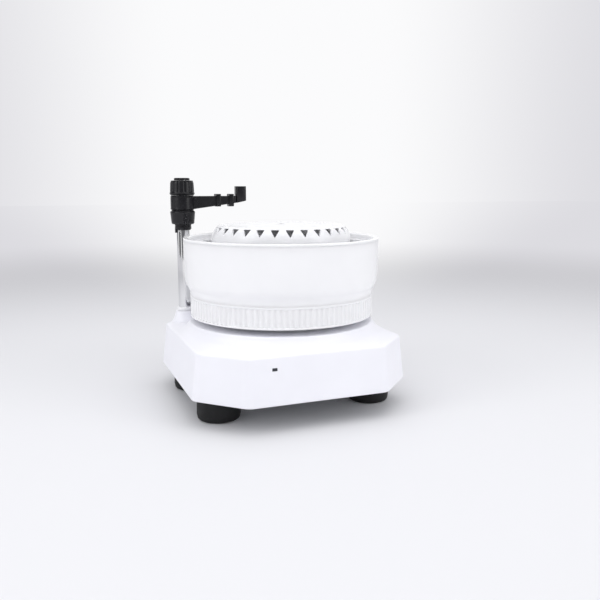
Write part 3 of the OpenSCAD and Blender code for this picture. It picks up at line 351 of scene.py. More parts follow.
def prism(outline, frame_of):
    """Solid between two copies of a closed outline; frame_of maps (x, y, side) to a point."""
    n = len(outline)
    verts = [frame_of(x, y, side) for side in (0, 1) for x, y in outline]
    faces = [tuple(range(n - 1, -1, -1)), tuple(range(n, 2 * n))]
    faces += [(k, (k + 1) % n, n + (k + 1) % n, n + k) for k in range(n)]
    return verts, faces


def merged(parts):
    verts, faces = [], []
    for v, f in parts:
        base = len(verts)
        verts += v
        faces += [tuple(base + i for i in face) for face in f]
    return verts, faces


def boolean(obj, part, operation="DIFFERENCE"):
    """Cut or add a part, given as points in millimetres, and keep the piece's own object."""
    mesh = bpy.data.meshes.new("tool")
    mesh.from_pydata([tuple(c * MM for c in v) for v in part[0]], [], part[1])
    tool = bpy.data.objects.new("tool", mesh)
    SCENE.collection.objects.link(tool)
    clean(tool)
    mod = obj.modifiers.new("bool", "BOOLEAN")
    mod.operation, mod.object, mod.solver = operation, tool, "EXACT"
    apply_modifiers(obj)
    bpy.data.objects.remove(tool)
    return obj


def apply_modifiers(obj):
    bpy.context.view_layer.update()
    graph = bpy.context.evaluated_depsgraph_get()
    mesh = bpy.data.meshes.new_from_object(obj.evaluated_get(graph))
    obj.modifiers.clear()
    obj.data = mesh


def bevel(obj, width, segments=3, angle=35.0):
    mod = obj.modifiers.new("bevel", "BEVEL")
    mod.width, mod.segments, mod.limit_method = width * MM, segments, "ANGLE"
    mod.angle_limit = math.radians(angle)
    apply_modifiers(obj)
    clean(obj)
    shade(obj, 40.0)
    return obj


# ---- Base ----


def octagon(inset):
    w, d = HALF_W - inset, HALF_D - inset
    c = CORNER_CUT - inset * (2 - math.sqrt(2))
    return np.array([(w, d - c), (w - c, d), (-w + c, d), (-w, d - c),
                     (-w, -d + c), (-w + c, -d), (w - c, -d), (w, -d + c)])


def octagon_gap(points, inset, edge):
    """Distance of each point outside the octagon with rounded upright edges; negative inside."""
    corners = octagon(inset + edge)
    nxt = np.roll(corners, -1, axis=0)
    side = nxt - corners
    length = np.linalg.norm(side, axis=1)
    unit = side / length[:, None]
    normal = np.stack([unit[:, 1], -unit[:, 0]], axis=1)
    if (normal * corners).sum() < 0:
        normal = -normal
    rel = points[:, None, :] - corners[None]
    plane = (rel * normal[None]).sum(-1)
    along = np.clip((rel * unit[None]).sum(-1), 0, length[None])
    near = np.linalg.norm(rel - along[..., None] * unit[None], axis=-1).min(1)
    inside = plane.max(1) <= 0
    return np.where(inside, plane.max(1), near) - edge


def octagon_reach(inset, edge, angles):
    """Distance from the bowl's axis to the octagon along each direction."""
    rays = np.stack([np.cos(angles), np.sin(angles)], axis=1)
    low, high = np.full(len(angles), 20.0), np.full(len(angles), 260.0)
    for _ in range(44):
        mid = (low + high) / 2
        outside = octagon_gap(np.array(AXIS) + rays * mid[:, None], inset, edge) > 0
        high = np.where(outside, mid, high)
        low = np.where(outside, low, mid)
    return (low + high) / 2


def build_shell():
    n = 720
    angles = np.linspace(0, TAU, n, endpoint=False)
    rings = []

    def ring(reach, z):
        reach = np.broadcast_to(reach, (n,))
        z = np.broadcast_to(z, (n,))
        rings.append([(AXIS[0] + r * math.cos(a), AXIS[1] + r * math.sin(a), h)
                      for r, a, h in zip(reach, angles, z)])

    def face(z):
        return octagon_reach(DRAFT * (z - BASE_Z) / (DECK_Z - BASE_Z), EDGE_R, angles)

    def curve(p0, p1, p2, steps):
        """Rings along a bend from p0 to p2 with its corner at p1; each is (reach, height)."""
        for k in range(steps + 1):
            t = k / steps
            weights = ((1 - t) ** 2, 2 * t * (1 - t), t * t)
            ring(sum(w * p[0] for w, p in zip(weights, (p0, p1, p2))),
                 sum(w * p[1] for w, p in zip(weights, (p0, p1, p2))))

    # bottom edge and side faces
    bottom_round, deck_round, foot_round = 1.3, 1.8, 3.2
    ring(octagon_reach(WALL, EDGE_R - WALL, angles), BASE_Z)
    low = face(BASE_Z)
    above = BASE_Z + bottom_round
    curve((low - bottom_round, BASE_Z), (low, BASE_Z), (face(above), above), 5)
    for z in (34, 40, 48, 56, 64, 72):
        ring(face(z), z)
    # deck edge, deck slope and the foot of the dais
    edge = face(DECK_Z)
    run, rise = edge - DAIS_R, DAIS_Z - DECK_Z
    slope_len = np.sqrt(run ** 2 + rise ** 2)

    def on_deck(share):
        return edge - run * share, DECK_Z + rise * share

    near_edge = np.minimum(deck_round / slope_len, 0.35)
    near_foot = 1 - np.minimum(foot_round / slope_len, 0.35)
    curve((face(DECK_Z - deck_round), DECK_Z - deck_round), (edge, DECK_Z), on_deck(near_edge), 6)
    for t in np.linspace(0, 1, 6)[1:-1]:
        ring(*on_deck(near_edge + (near_foot - near_edge) * t))
    cone_top_r, cone_top_z = PLATEAU_R + 1.2, DAIS_TOP - 2.4
    share = foot_round / math.hypot(DAIS_R - cone_top_r, cone_top_z - DAIS_Z)
    foot_up = (DAIS_R + (cone_top_r - DAIS_R) * share, DAIS_Z + (cone_top_z - DAIS_Z) * share)
    curve(on_deck(near_foot), (DAIS_R, DAIS_Z), foot_up, 7)
    # flat top, drip well, splash collar and the underside
    roof = DECK_Z - WALL
    under = rounded([
        (cone_top_r, cone_top_z, 1.0), (PLATEAU_R, DAIS_TOP, 1.6), (WELL_R, DAIS_TOP, 1.0),
        (WELL_R, WELL_Z, 2.0), (SPLASH_OUT, WELL_Z, 1.5), (SPLASH_OUT, DAIS_TOP, 1.0),
        (SPLASH_R, DAIS_TOP, 0.8), (SPLASH_R, WELL_UNDER, 0), (WELL_R, WELL_UNDER, 0),
        (WELL_R, roof, 0), (WELL_R + WALL, roof, 0), (WELL_R + WALL, DAIS_TOP - WALL, 0),
        (PLATEAU_R - 2, DAIS_TOP - WALL, 0), (PLATEAU_R + 2.6, DAIS_Z - 0.5, 0),
        (PLATEAU_R + 2.6, roof, 0), (PLATEAU_R + 4, roof, 0)])
    for r, z in under[:-1]:
        ring(r, z)
    for z in (roof, 64, 52, 40):
        ring(octagon_reach(WALL + DRAFT * (z - BASE_Z) / (roof - BASE_Z), EDGE_R - WALL, angles), z)
    shell = make("base_housing", *loft(rings), "housing", "base", ("base_shell",), 30.0)

    # turret that flares out of the deck, kept inside the chamfered corner
    flare = smooth_curve([(19.6, 75.0), (17.3, 78.2), (15.5, 81.2), (13.9, 84.6), (12.7, 88.0),
                          (12.05, 90.8)], 5)
    outline = flare + rounded([(11.7, 92.45, 0.9), (9.2, 92.5, 0.3), (9.2, 75.0, 0)], 4)
    verts, faces = lathe(outline, COLUMN, 128)
    spot = np.array([v[:2] for v in verts])
    out = octagon_gap(spot, DRAFT + 0.05, EDGE_R)
    middle = np.array(COLUMN)
    for i in np.nonzero(out > 0)[0]:
        near, far = 0.0, 1.0
        for _ in range(24):
            t = (near + far) / 2
            trial = middle + (spot[i] - middle) * t
            if octagon_gap(trial[None], DRAFT + 0.05, EDGE_R)[0] > 0:
                far = t
            else:
                near = t
        verts[i] = (*(middle + (spot[i] - middle) * near), verts[i][2])
    boolean(shell, (verts, faces), "UNION")
    bore = lathe([(0.0, 60.0), (COLUMN_BORE_R, 60.0), (COLUMN_BORE_R, 96.0), (0.0, 96.0)], COLUMN, 96)
    boolean(shell, bore)

    # windows for the lens and the rear panel
    tilt = math.atan(DRAFT / (DECK_Z - BASE_Z))
    lens = rectangle(*LENS_WINDOW_HALF, 0.5, 3)
    boolean(shell, prism(lens, lambda x, y, s: lens_point(x, y, (-3.0, 5.0)[s], tilt)))
    rear = rectangle(*REAR_WINDOW_HALF, 2.5, 4)
    boolean(shell, prism(rear, lambda x, y, s: (x, REAR_WINDOW_Y[s], REAR_WINDOW_Z + y)))
    clean(shell)
    shade(shell, 30.0)
    return shell


def lens_point(x, y, depth, tilt):
    """Point in the lens's own plane: x right, y up the face, depth into the housing."""
    front = -(HALF_D - DRAFT * (LENS_Z - BASE_Z) / (DECK_Z - BASE_Z))
    return (LENS_X + x, front + depth * math.cos(tilt) + y * math.sin(tilt),
            LENS_Z + y * math.cos(tilt) - depth * math.sin(tilt))


def build_lens():
    tilt = math.atan(DRAFT / (DECK_Z - BASE_Z))
    outline = rectangle(*LENS_HALF, 0.5, 4)
    part = prism(outline, lambda x, y, s: lens_point(x, y, (0.05, 4.0)[s], tilt))
    lens = make("status_window", *part, "lens_dark", "base", ("status_lens",))
    bevel(lens, 0.25, 2, 60.0)


def build_feet():
    for tag, sx, sy in (("front_left", -1, -1), ("front_right", 1, -1),
                        ("rear_left", -1, 1), ("rear_right", 1, 1)):
        profile = rounded([
            (5.2, 0.5, 0.5), (8.5, 0.5, 0.4), (9.2, 0.0, 0.3), (16.8, 0.0, 1.0), (FOOT_R - 1.2, 0.9, 3.2),
            (FOOT_R - 0.05, 6.5, 3.0), (FOOT_R - 0.35, 24.6, 0.4), (FOOT_R - 1.1, 25.2, 0.3),
            (FOOT_R - 1.1, 26.0, 0.3), (FOOT_R - 0.5, 26.6, 0.4), (FOOT_R - 0.8, 30.0, 0.4),
            (2.6, 30.0, 0), (2.6, 5.5, 0), (5.2, 5.5, 0)], 6)
        make(f"rubber_{tag}", *lathe(profile, (sx * FOOT_X, sy * FOOT_Y), 128), "foot_rubber",
             "base", (f"foot_{tag}",))


# ---- Bowl ----


def build_bowl():
    grip_top = BOWL_Z + GRIP_H
    outer = smooth_curve([(BOWL_LOW_R, grip_top + 0.4), (BOWL_LOW_R + 0.02, grip_top + 3.6),
                          (106.1, 130.2), (108.3, 134.0), (109.75, 138.0), (110.55, 145.0),
                          (111.05, 155.0), (BOWL_R, 166.0), (BOWL_R, 174.0)], 5)
    inner = smooth_curve([(BOWL_R - BOWL_WALL, 174.0), (BOWL_R - BOWL_WALL, 164.0),
                          (108.0, 155.0), (107.5, 146.0), (106.7, 139.0), (105.2, 135.0),
                          (103.1, 131.2), (BOWL_LOW_R - BOWL_WALL, 127.6), (101.2, 124.0),
                          (99.07, 120.0), (99.063, 112.0)], 5)
    floor, hub = BOWL_Z + 3, BOWL_Z + 10
    profile = (
        rounded([(14.0, BOWL_Z, 0.3), (GRIP_IN_R, BOWL_Z, 0.8), (GRIP_IN_R, grip_top, 0),
                 (BOWL_LOW_R, grip_top, 0)], 4)
        + outer
        + [(BOWL_R, RIM_Z - 0.03), (BOWL_R - BOWL_WALL, RIM_Z - 0.03)]
        + inner
        + rounded([(99.063, floor, 2.5), (17.0, floor, 1.0), (17.0, hub, 0.8), (5.2, hub, 0),
                   (5.2, hub - 3, 0), (14.0, hub - 3, 0.5)], 5)
    )
    bowl = make("bowl_body", *lathe(profile, AXIS, 288), "bowl_white", "bowl_assembly", ("bowl",),
                30.0)
    pegs = []
    for k in range(3):
        a = TAU * k / 3
        spot = (AXIS[0] + 40 * math.cos(a), AXIS[1] + 40 * math.sin(a))
        pegs.append(lathe([(0.0, 97.0), (4.4, 97.0), (4.4, 106.8), (0.0, 106.8)], spot, 48))
    boolean(bowl, merged(pegs))
    clean(bowl)
    shade(bowl, 30.0)


def build_grip():
    count, depth = GRIP_COUNT, 0.7
    flute_r, bead = BOWL_LOW_R - 0.3, 3.1

    def warp(angle, r, z):
        """Flutes fade out towards the plain edge and the bead."""
        height = z - BOWL_Z
        if r < flute_r - 0.25 or height < 1.95 or height > GRIP_H - bead - 0.02:
            return r
        wave = math.cos(count * angle)
        share = min(1.0, max(0.0, 0.5 + 0.85 * wave))
        ends = min(1.0, (height - 1.9) / 0.7, (GRIP_H - bead - height) / 0.7)
        return r - depth * share * max(0.0, ends)

    low, high = BOWL_Z, BOWL_Z + GRIP_H
    inner = GRIP_IN_R + 0.1
    plain = rounded([(inner, low + 0.1, 0.2), (BOWL_LOW_R - 0.1, low + 0.1, 0.5),
                     (BOWL_LOW_R, low + 0.8, 0.3), (BOWL_LOW_R, low + 1.75, 0.15)], 4)
    flutes = [(flute_r, low + h) for h in (1.95, 2.2, 2.6, 3.4, 8.0, 14.0, 19.8, 20.6, 21.0, 21.25)]
    top = rounded([(BOWL_LOW_R + 0.05, high - bead + 0.05, 0.15),
                   (BOWL_LOW_R + 0.4, high - bead + 0.9, 0.5),
                   (BOWL_LOW_R + 0.4, high - 1.0, 0.8), (BOWL_LOW_R + 0.02, high - 0.03, 0),
                   (inner, high - 0.03, 0.1)], 4)
    make("grip_band", *lathe(plain + flutes + top, AXIS, count * 10, warp), "bowl_white",
         "bowl_assembly", ("grip_ring",), 40.0)


def build_rim():
    crest_in, low = BOWL_R - CREST_W, LEDGE_Z - 2.6
    profile = rounded([
        (RIM_IN_R, low, 0.4), (RIM_IN_R, LEDGE_Z, 0.6), (crest_in, LEDGE_Z, 0.7), (crest_in, RIM_TOP, 3.0),
        (BOWL_R, RIM_TOP, 3.4), (BOWL_R, RIM_Z, 0), (BOWL_R - 3.1, RIM_Z, 0), (BOWL_R - 3.1, low, 0.2)], 8)
    make("rim_band", *lathe(profile, AXIS, 288), "bowl_white", "bowl_assembly", ("rim_ring",), 30.0)


def build_crown():
    base, flat_r = CROWN_Z, GUIDE_R - SHOULDER_W

    def arc(inset):
        return [(flat_r + (SHOULDER_W - inset) * math.cos(t),
                 base + (CROWN_H - 0.8 - inset) * math.sin(t))
                for t in np.linspace(0, math.pi / 2, 20)]

    top = base + CROWN_H
    dome = [(r, top - 0.8 * (r / flat_r) ** 2) for r in (60, 45, 30, 15, 6)]
    outer = arc(0) + dome + rounded([(4.3, top - 0.01, 0.25), (4.3, top - 1.0, 0.2),
                                     (2.1, top - 1.0, 0)], 3)
    inner = ([(2.1, top - CROWN_WALL)] + [(r, z - CROWN_WALL) for r, z in reversed(dome)]
             + list(reversed(arc(CROWN_WALL))))
    crown = make("crown_cover", *lathe(outer + inner, AXIS, 360), "bowl_white", "bowl_assembly",
                 ("crown",), 30.0, MATS["crown_white"])
    tri = rounded([(0.0, WINDOW_Z, 0.9), (WINDOW_W / 2, WINDOW_Z + WINDOW_H, 0.8),
                   (-WINDOW_W / 2, WINDOW_Z + WINDOW_H, 0.8)], 4)
    cuts = []
    for k in range(TUBES):
        a = math.radians(-90 + REST_TURN + k * 360 / TUBES)
        out, side = (math.cos(a), math.sin(a)), (-math.sin(a), math.cos(a))
        cuts.append(prism(tri, lambda x, y, s: (
            AXIS[0] + out[0] * (60.0, 92.0)[s] + side[0] * x,
            AXIS[1] + out[1] * (60.0, 92.0)[s] + side[1] * x, base + y)))
    boolean(crown, merged(cuts))
    clean(crown)
    shade(crown, 28.0)


def build_guide():
    """Fluted drum with a round flute for each tube, and the hub that stands inside the crown."""
    low, high = GUIDE_Z, CROWN_Z - 0.1
    hub_top = high + CROWN_H - CROWN_WALL - 0.5
    phase = math.radians(-90 + REST_TURN)
    wall_in = GUIDE_R - FLUTE - 3.0

    def warp(angle, r, z):
        if r < GUIDE_R - 1.5:
            return r
        u = ((angle - phase) * TUBES / TAU + 0.5) % 1.0 - 0.5
        return r - FLUTE * max(0.0, 1 - (abs(u) / 0.42) ** 2.2)

    profile = rounded([
        (wall_in, low, 0), (GUIDE_R, low, 0.4), (GUIDE_R, high, 0.5), (CROWN_HUB_R, high, 1.0),
        (CROWN_HUB_R, hub_top, 1.0), (5.1, hub_top, 0), (5.1, hub_top - 2, 0),
        (CROWN_HUB_R - 2, hub_top - 2, 1.0), (CROWN_HUB_R - 2, high - 2.2, 0), (wall_in, high - 2.2, 0)], 3)
    make("tube_drum", *lathe(profile, AXIS, TUBES * 20, warp), "inner_white", "bowl_assembly",
         ("tube_guide",), 40.0)


# ---- Column and head ----


def build_column():
    bore = COLUMN_R - 1.5
    tube = rounded([(bore, COLUMN_LOW, 0.2), (COLUMN_R, COLUMN_LOW, 0.4), (COLUMN_R, COLUMN_TOP, 0.4),
                    (bore, COLUMN_TOP, 0.2)], 3)
    make("column_pipe", *lathe(tube, COLUMN, 160), "column_steel", "base", ("column_tube",))
    z = TURRET_TOP + 0.1
    bush = rounded([(COLUMN_BORE_R, z, 0), (8.9, z, 0.2), (8.9, z + 1.6, 0.15), (9.6, z + 1.9, 0.3),
                    (9.6, z + 4.1, 0.5), (9.0, z + 4.7, 0.4), (COLUMN_BORE_R, z + 4.7, 0.1)], 4)
    make("foot_bush", *lathe(bush, COLUMN, 128), "inner_white", "base", ("column_bush",))
    rod = rounded([(0.0, 75.0), (ROD_R, 75.0, 0.5), (ROD_R, CAP_Z, 0), (0.0, CAP_Z)], 3)
    make("inner_pipe", *lathe(rod, COLUMN, 128), "column_steel", "rod", ("inner_rod",))


def build_head():
    z = COLLAR_Z
    collar = rounded([
        (COLUMN_BORE_R, z, 0.1), (8.3, z, 0.2), (COLLAR_R, z + 1.6, 0.5), (COLLAR_R, z + 4.4, 0.25),
        (COLLAR_R - 0.35, z + 4.7, 0.2), (COLLAR_R - 0.35, z + 5.2, 0.2), (COLLAR_R, z + 5.5, 0.25),
        (COLLAR_R, z + 7, 0.4), (NECK_R, z + 7, 0.3), (NECK_R, z + 15.4, 0.3), (8.0, z + 16, 0.3),
        (6.05, z + 16, 0.2), (6.05, z + 4.95, 0), (COLUMN_BORE_R, z + 4.9, 0)], 4)
    tab = rounded([(-COLLAR_R, -2, 0.4), (-8.25, -2, 0.2), (-8.25, 2, 0.2), (-COLLAR_R, 2, 0.4)], 3)
    part = merged([
        lathe(collar, COLUMN, 128),
        prism(tab, lambda x, y, s: (COLUMN[0] + x, COLUMN[1] + y, (z - 3.0, z + 1.9)[s]))])
    make("collar_ring", *part, "black_plastic", "base", ("collar",))

    z = HEIGHT_KNOB_Z
    knob = rounded([
        (NECK_R + 0.06, z, 0.2), (12.5, z, 0.5), (13.65, z + 1.1, 0.7), (KNOB_R - 0.25, z + 12.6, 2.0),
        (KNOB_R, z + 14.2, 0.8), (KNOB_R - 0.35, z + 15.2, 0.6), (13.2, z + KNOB_H, 0.6),
        (6.3, z + KNOB_H, 0.3), (6.3, z + 9.2, 0), (NECK_R + 0.06, z + 9.2, 0)], 5)

    def grip(angle, r, height):
        """Very shallow grip waves, hardly seen on the dark knob."""
        if r < 13.5 or not z + 1.6 < height < z + 13.6:
            return r
        return r - 0.10 * (0.5 + 0.5 * math.cos(24 * angle))

    make("height_grip", *lathe(knob, COLUMN, 288, grip), "black_plastic", "height_clamp",
         ("height_knob",), 35.0)

    z = SWING_KNOB_Z
    top = z + SWING_KNOB_H
    side = smooth_curve([(14.9, z + 1.3), (14.98, z + 2.4), (14.45, z + 3.7), (14.25, z + 6.5),
                         (14.05, z + 10.5), (13.85, z + 14.8)], 4)
    knob = (rounded([(6.3, z, 0.2), (13.4, z, 0.5), (14.5, z + 0.7, 0.5)], 3) + side
            + rounded([(13.7, top - 1.0, 0.5), (12.8, top, 0.6), (11.0, top, 0.3), (10.7, top - 0.35, 0.3),
                       (6.3, top - 0.35, 0.2)], 4))

    def scallop(angle, r, height):
        """Broad upright flutes that run out above the skirt."""
        if r < 13.2 or height < z + 3.2:
            return r
        ends = min(1.0, (height - z - 3.2) / 2.2)
        return r - 0.62 * max(0.0, ends) * max(0.0, math.cos(12 * angle)) ** 1.5

    make("swing_grip", *lathe(knob, COLUMN, 360, scallop), "black_plastic", "swing_clamp",
         ("swing_knob",), 35.0)

    def ring_piece(name, heights, outer, node):
        low, high = heights
        outline = rounded([(ROD_R + 0.06, low, 0.1), (outer, low, 0.25), (outer, high, 0.25),
                           (ROD_R + 0.06, high, 0.1)], 3)
        make(name, *lathe(outline, COLUMN, 128), "black_plastic", "rod", (node,))

    ring_piece("rod_ring", ROD_RING_Z, HUB_R - 0.9, "rod_collar")
    ring_piece("thrust_washer", WASHER_Z, HUB_R - 0.5, "friction_washer")
    cap = rounded([(0.0, CAP_Z), (9.4, CAP_Z, 0.3), (9.4, CAP_Z + 1.9, 0.4), (8.8, CAP_Z + 2.75, 0.7),
                   (5.2, CAP_Z + 2.8, 0.3), (4.8, CAP_Z + 2.5, 0.3), (0.0, CAP_Z + 2.5)], 5)
    make("end_cover", *lathe(cap, COLUMN, 128), "cap_black", "rod", ("end_cap",))


def arm_low(x):
    return ARM_ROOT_LOW + max(0.0, x - HUB_R) * ARM_SLOPE


def build_arm():
    low, high = HUB_Z, HUB_TOP
    hub = rounded([
        (6.06, low, 0.3), (HUB_R - 0.6, low, 0.4), (HUB_R + 0.15, low + 0.6, 0.3),
        (HUB_R + 0.15, low + 1.4, 0.3), (HUB_R, low + 1.9, 0.4), (HUB_R, high - 1.9, 0.3),
        (HUB_R - 0.3, high - 1.65, 0.15), (HUB_R - 0.3, high - 1.35, 0.15), (HUB_R, high - 1.1, 0.3),
        (HUB_R, high - 0.5, 0.5), (HUB_R - 0.6, high, 0.4), (6.06, high, 0.3)], 4)
    arm = make("arm_body", *lathe(hub, COLUMN, 160), "black_plastic", "arm", ("swing_arm",))

    def beam(x0, x1, width, drop=0.0):
        side = [(x0, arm_low(x0) + drop), (x1, arm_low(x1) + drop), (x1, ARM_TOP), (x0, ARM_TOP)]
        return prism(side, lambda x, y, s: (COLUMN[0] + x, COLUMN[1] + (-width / 2, width / 2)[s], y))

    bar = make("bar", *beam(10.0, ARM_END, ARM_W), "black_plastic", None)
    bevel(bar, 0.9, 4)
    for y_side in (-1, 1):
        # shallow panels sunk into both sides, with a rib left between them
        for x0, x1 in ((17.5, 38.5), (48.5, 55.5)):
            panel = [(x0, arm_low(x0) + 2.2), (x1, arm_low(x1) + 2.2),
                     (x1, ARM_TOP - 2.2), (x0, ARM_TOP - 2.2)]
            panel = rounded([(*p, 1.0) for p in panel], 3)
            y0, y1 = sorted((y_side * (ARM_W / 2 - 0.35), y_side * (ARM_W / 2 + 2)))
            boolean(bar, prism(panel, lambda x, y, s: (COLUMN[0] + x, COLUMN[1] + (y0, y1)[s], y)))
    tenon = [(ARM_END - 1, -2.5), (ARM_END + 3.9, -2.5), (ARM_END + 3.9, 2.5), (ARM_END - 1, 2.5)]
    boolean(bar, prism(tenon, lambda x, y, s: (COLUMN[0] + x, COLUMN[1] + y, TENON_Z[s])), "UNION")
    boolean(arm, mesh_points(bar), "UNION")
    bpy.data.objects.remove(bar)
    boolean(arm, lathe([(0.0, low - 1), (6.06, low - 1), (6.06, high + 1), (0.0, high + 1)], COLUMN, 96))
    clean(arm)
    shade(arm, 35.0)

    clips = []
    under, over, half = arm_low(CLIP_STARTS[0]) - 0.6, ARM_TOP + 2.5, ARM_W / 2
    band = rounded([(-half - 1.6, under, 2.6), (half + 1.6, under, 2.6), (half + 1.6, over, 1.8),
                    (TUBING_R, over, 0.4), (TUBING_R * 0.7, over - 1.3, 0.8),
                    (-TUBING_R * 0.7, over - 1.3, 0.8), (-TUBING_R, over, 0.4), (-half - 1.6, over, 1.8)], 5)
    for x in CLIP_STARTS:
        foot = arm_low(x) - 0.06
        hole = rounded([(-half - 0.06, foot, 0.8), (half + 0.06, foot, 0.8),
                        (half + 0.06, ARM_TOP + 0.06, 0.8), (-half - 0.06, ARM_TOP + 0.06, 0.8)], 4)
        clip = make("clip", *prism(band, lambda y, h, s: (
            COLUMN[0] + x + CLIP_L * s, COLUMN[1] + y, h)), "cap_black", None)
        boolean(clip, prism(hole, lambda y, h, s: (
            COLUMN[0] + x - 1 + (CLIP_L + 2) * s, COLUMN[1] + y,
            h + (ARM_SLOPE * ((CLIP_L + 2) * s - 1) if h < foot + 2 else 0.0))))
        bevel(clip, 0.3, 2, 50.0)
        clips.append(mesh_points(clip))
        bpy.data.objects.remove(clip)
    make("tube_clips", *merged(clips), "cap_black", "arm", ("tubing_clips",), 35.0)

    # tubing holder
    half, corner = ARM_W / 2 + 2.0, 3.5
    x0, x1 = HOLDER_X, HOLDER_X + HOLDER_L
    low, high = arm_low(x0), ARM_TOP + HOLDER_UP
    outline = rounded([(x0, -half, corner), (x1, -half, corner), (x1, half, corner), (x0, half, corner)], 5)
    tilt = math.tan(math.atan(ARM_SLOPE) + math.radians(4))
    holder = make("tube_holder", *prism(outline, lambda x, y, s: (
        COLUMN[0] + x, COLUMN[1] + y, high if s else low + (x - x0) * tilt)), "black_plastic", "arm",
        ("tubing_holder",))
    bevel(holder, 0.5, 3, 50.0)
    spot = (COLUMN[0] + ARM_REACH, COLUMN[1])
    bore = rounded([(0.0, low - 4), (TUBING_R, low - 4), (TUBING_R, high - 8, 0.2), (3.3, high - 8, 0.2),
                    (3.3, high - 0.8, 0.2), (4.1, high + 0.1, 0), (4.1, high + 2, 0), (0.0, high + 2)], 3)
    boolean(holder, lathe(bore, spot, 64))
    pocket = [(x0 - 1, -2.6), (x0 + 4, -2.6), (x0 + 4, 2.6), (x0 - 1, 2.6)]
    boolean(holder, prism(pocket, lambda x, y, s: (COLUMN[0] + x, COLUMN[1] + y, POCKET_Z[s])))
    clean(holder)
    shade(holder, 35.0)


def mesh_points(obj):
    """A piece's points in millimetres and its faces, to join it into another."""
    return ([tuple(c / MM for c in v.co) for v in obj.data.vertices],
            [tuple(f.vertices) for f in obj.data.polygons])


# ---- Stage and light ----

RIGHTWARD = (0.9296, -0.3686, 0.0)
TOWARD_FRONT = (-0.3686, -0.9296, 0.0)
# the sweep's white, and the painted shade it darkens to at both sides of the picture
STUDIO_WHITE, STUDIO_SHADED_EDGE = (0.965, 0.965, 0.975), (0.72, 0.715, 0.75)
# the floor's white, and the dim surround of the painted reflection that only shiny pieces see
FLOOR_WHITE, PAINTED_REFLECTION_DIM = (0.80, 0.80, 0.82, 1), (0.16, 0.16, 0.17)
# distances in metres over which the floor turns into the sweep, and the sweep reaches full white
FLOOR_FADE, SWEEP_FADE = (0.35, 1.6), (0.9, 2.4)
WORLD_LIGHT = tuple(c * 0.74 for c in (0.93, 0.935, 0.96))
# painted reflection: bright upright strips that only shiny pieces see and that light nothing: angle from the
# front, width, both in degrees, and colour
PAINTED_REFLECTION_STRIPS = ((-84, 11, (1.0, 1.0, 1.0)), (-31, 9, (1.0, 1.0, 1.0)), (54, 8, (0.6, 0.6, 0.6)))
# lamps: name, place, size in metres, power in watts
LAMPS = (("top", (-0.1, -0.45, 1.65), (1.8, 1.5), 10.6),
         ("left", (-1.5, -0.3, 0.9), (0.7, 1.2), 6.0),
         ("right", (1.2, -1.2, 0.8), (0.8, 1.2), 6.2))
LAMP_AIM = (0.0, 0.0, 0.12)


def direction_share(n, vector, along, low, high):
    """How far a direction points along a fixed one: 0 at low, 1 at high, smooth between."""
    unit = n.add("ShaderNodeVectorMath", operation="NORMALIZE")
    n.join(vector, unit.inputs[0])
    dot = n.add("ShaderNodeVectorMath", operation="DOT_PRODUCT")
    n.join(unit.outputs["Vector"], dot.inputs[0])
    dot.inputs[1].default_value = along
    return n.remap(dot.outputs["Value"], (low, high), (0.0, 1.0))


def studio_colour(n, vector):
    """White sweep with painted shade: darker towards both sides of the picture."""
    left = direction_share(n, vector, RIGHTWARD, -0.16, -0.52)
    right = direction_share(n, vector, RIGHTWARD, 0.10, 0.46)
    return n.blend(right, n.blend(left, STUDIO_WHITE, STUDIO_SHADED_EDGE), STUDIO_SHADED_EDGE)


def seen_directly(n):
    """1 for rays from the camera and for those by way of a mirror or glass, else 0."""
    path = n.add("ShaderNodeLightPath")
    total = path.outputs["Is Camera Ray"]
    for name in ("Is Glossy Ray", "Is Transmission Ray"):
        both = n.add("ShaderNodeMath", operation="MAXIMUM")
        n.join(total, both.inputs[0])
        n.join(path.outputs[name], both.inputs[1])
        total = both.outputs[0]
    return total


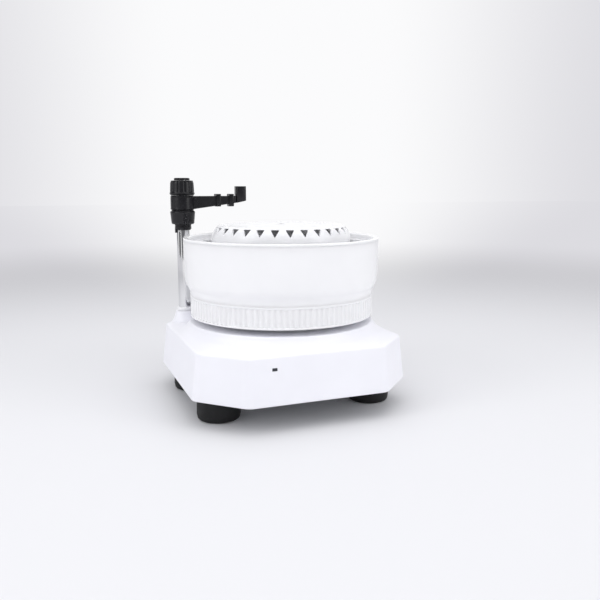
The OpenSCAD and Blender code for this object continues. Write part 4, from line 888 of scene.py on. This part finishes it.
def build_stage():
    size, count = 9.0, 48
    spots = np.linspace(-size, size, count) * 1000
    verts = [(x, y, 0.0) for y in spots for x in spots]
    faces = [(j * count + i, j * count + i + 1, (j + 1) * count + i + 1, (j + 1) * count + i)
             for j in range(count - 1) for i in range(count - 1)]
    mat = bpy.data.materials.new("stage")
    n = Nodes(mat)
    n.shader.inputs["Base Color"].default_value = FLOOR_WHITE
    n.shader.inputs["Roughness"].default_value = 0.7
    n.shader.inputs["Specular IOR Level"].default_value = 0.2
    # far from the object the floor turns into the sweep's own white
    place = n.add("ShaderNodeTexCoord").outputs["Object"]
    far = n.add("ShaderNodeVectorMath", operation="LENGTH")
    n.join(place, far.inputs[0])
    distance = far.outputs["Value"]
    share = n.add("ShaderNodeMath", operation="MULTIPLY")
    n.join(n.remap(distance, FLOOR_FADE, (0.0, 1.0)), share.inputs[0])
    n.join(seen_directly(n), share.inputs[1])
    glow = n.add("ShaderNodeEmission")
    n.join(studio_colour(n, place), glow.inputs["Color"])
    n.join(n.remap(distance, SWEEP_FADE, (0.80, 1.0)), glow.inputs["Strength"])
    mix = n.add("ShaderNodeMixShader")
    n.join(share.outputs[0], mix.inputs[0])
    n.join(n.shader.outputs[0], mix.inputs[1])
    n.join(glow.outputs[0], mix.inputs[2])
    n.join(mix.outputs[0], n.tree.nodes["Material Output"].inputs["Surface"])
    floor = make("stage_floor", verts, faces, "housing", None, mat=mat)


class WorldNodes(Nodes):
    def __init__(self, world):
        world.use_nodes = True
        self.tree = world.node_tree
        self.shader = self.tree.nodes["Background"]


def build_light():
    world = bpy.data.worlds.new("studio")
    SCENE.world = world
    n = WorldNodes(world)
    ray = n.add("ShaderNodeTexCoord").outputs["Generated"]
    path = n.add("ShaderNodeLightPath")
    # painted reflection: what shiny pieces see in front of them, a dim surround with bright upright strips
    # that light nothing
    painted_reflection = n.blend(direction_share(n, ray, TOWARD_FRONT, -0.85, -0.3), STUDIO_WHITE, PAINTED_REFLECTION_DIM)
    for angle, width, colour in PAINTED_REFLECTION_STRIPS:
        turn = math.radians(angle)
        along = tuple(math.cos(turn) * f + math.sin(turn) * r
                      for f, r in zip(TOWARD_FRONT, RIGHTWARD))
        near, edge = math.cos(math.radians(width * 0.5)), math.cos(math.radians(width))
        painted_reflection = n.blend(direction_share(n, ray, along, edge, near), painted_reflection, colour)
    seen = n.blend(path.outputs["Is Glossy Ray"], studio_colour(n, ray), painted_reflection)
    n.join(n.blend(seen_directly(n), WORLD_LIGHT, seen), n.shader.inputs["Color"])

    for name, place, size, power in LAMPS:
        data = bpy.data.lights.new(name, "AREA")
        data.shape, data.size, data.size_y = "RECTANGLE", size[0], size[1]
        data.energy = power
        lamp = bpy.data.objects.new(name, data)
        lamp.location = place
        lamp.rotation_euler = (Vector(LAMP_AIM) - Vector(place)).to_track_quat("-Z", "Y").to_euler()
        SCENE.collection.objects.link(lamp)


add_camera()
dress_frame()
build_shell()
build_lens()
build_feet()
build_bowl()
build_grip()
build_rim()
build_crown()
build_guide()
build_column()
build_head()
build_arm()
build_stage()
build_light()
SCENE.view_settings.view_transform = "Standard"
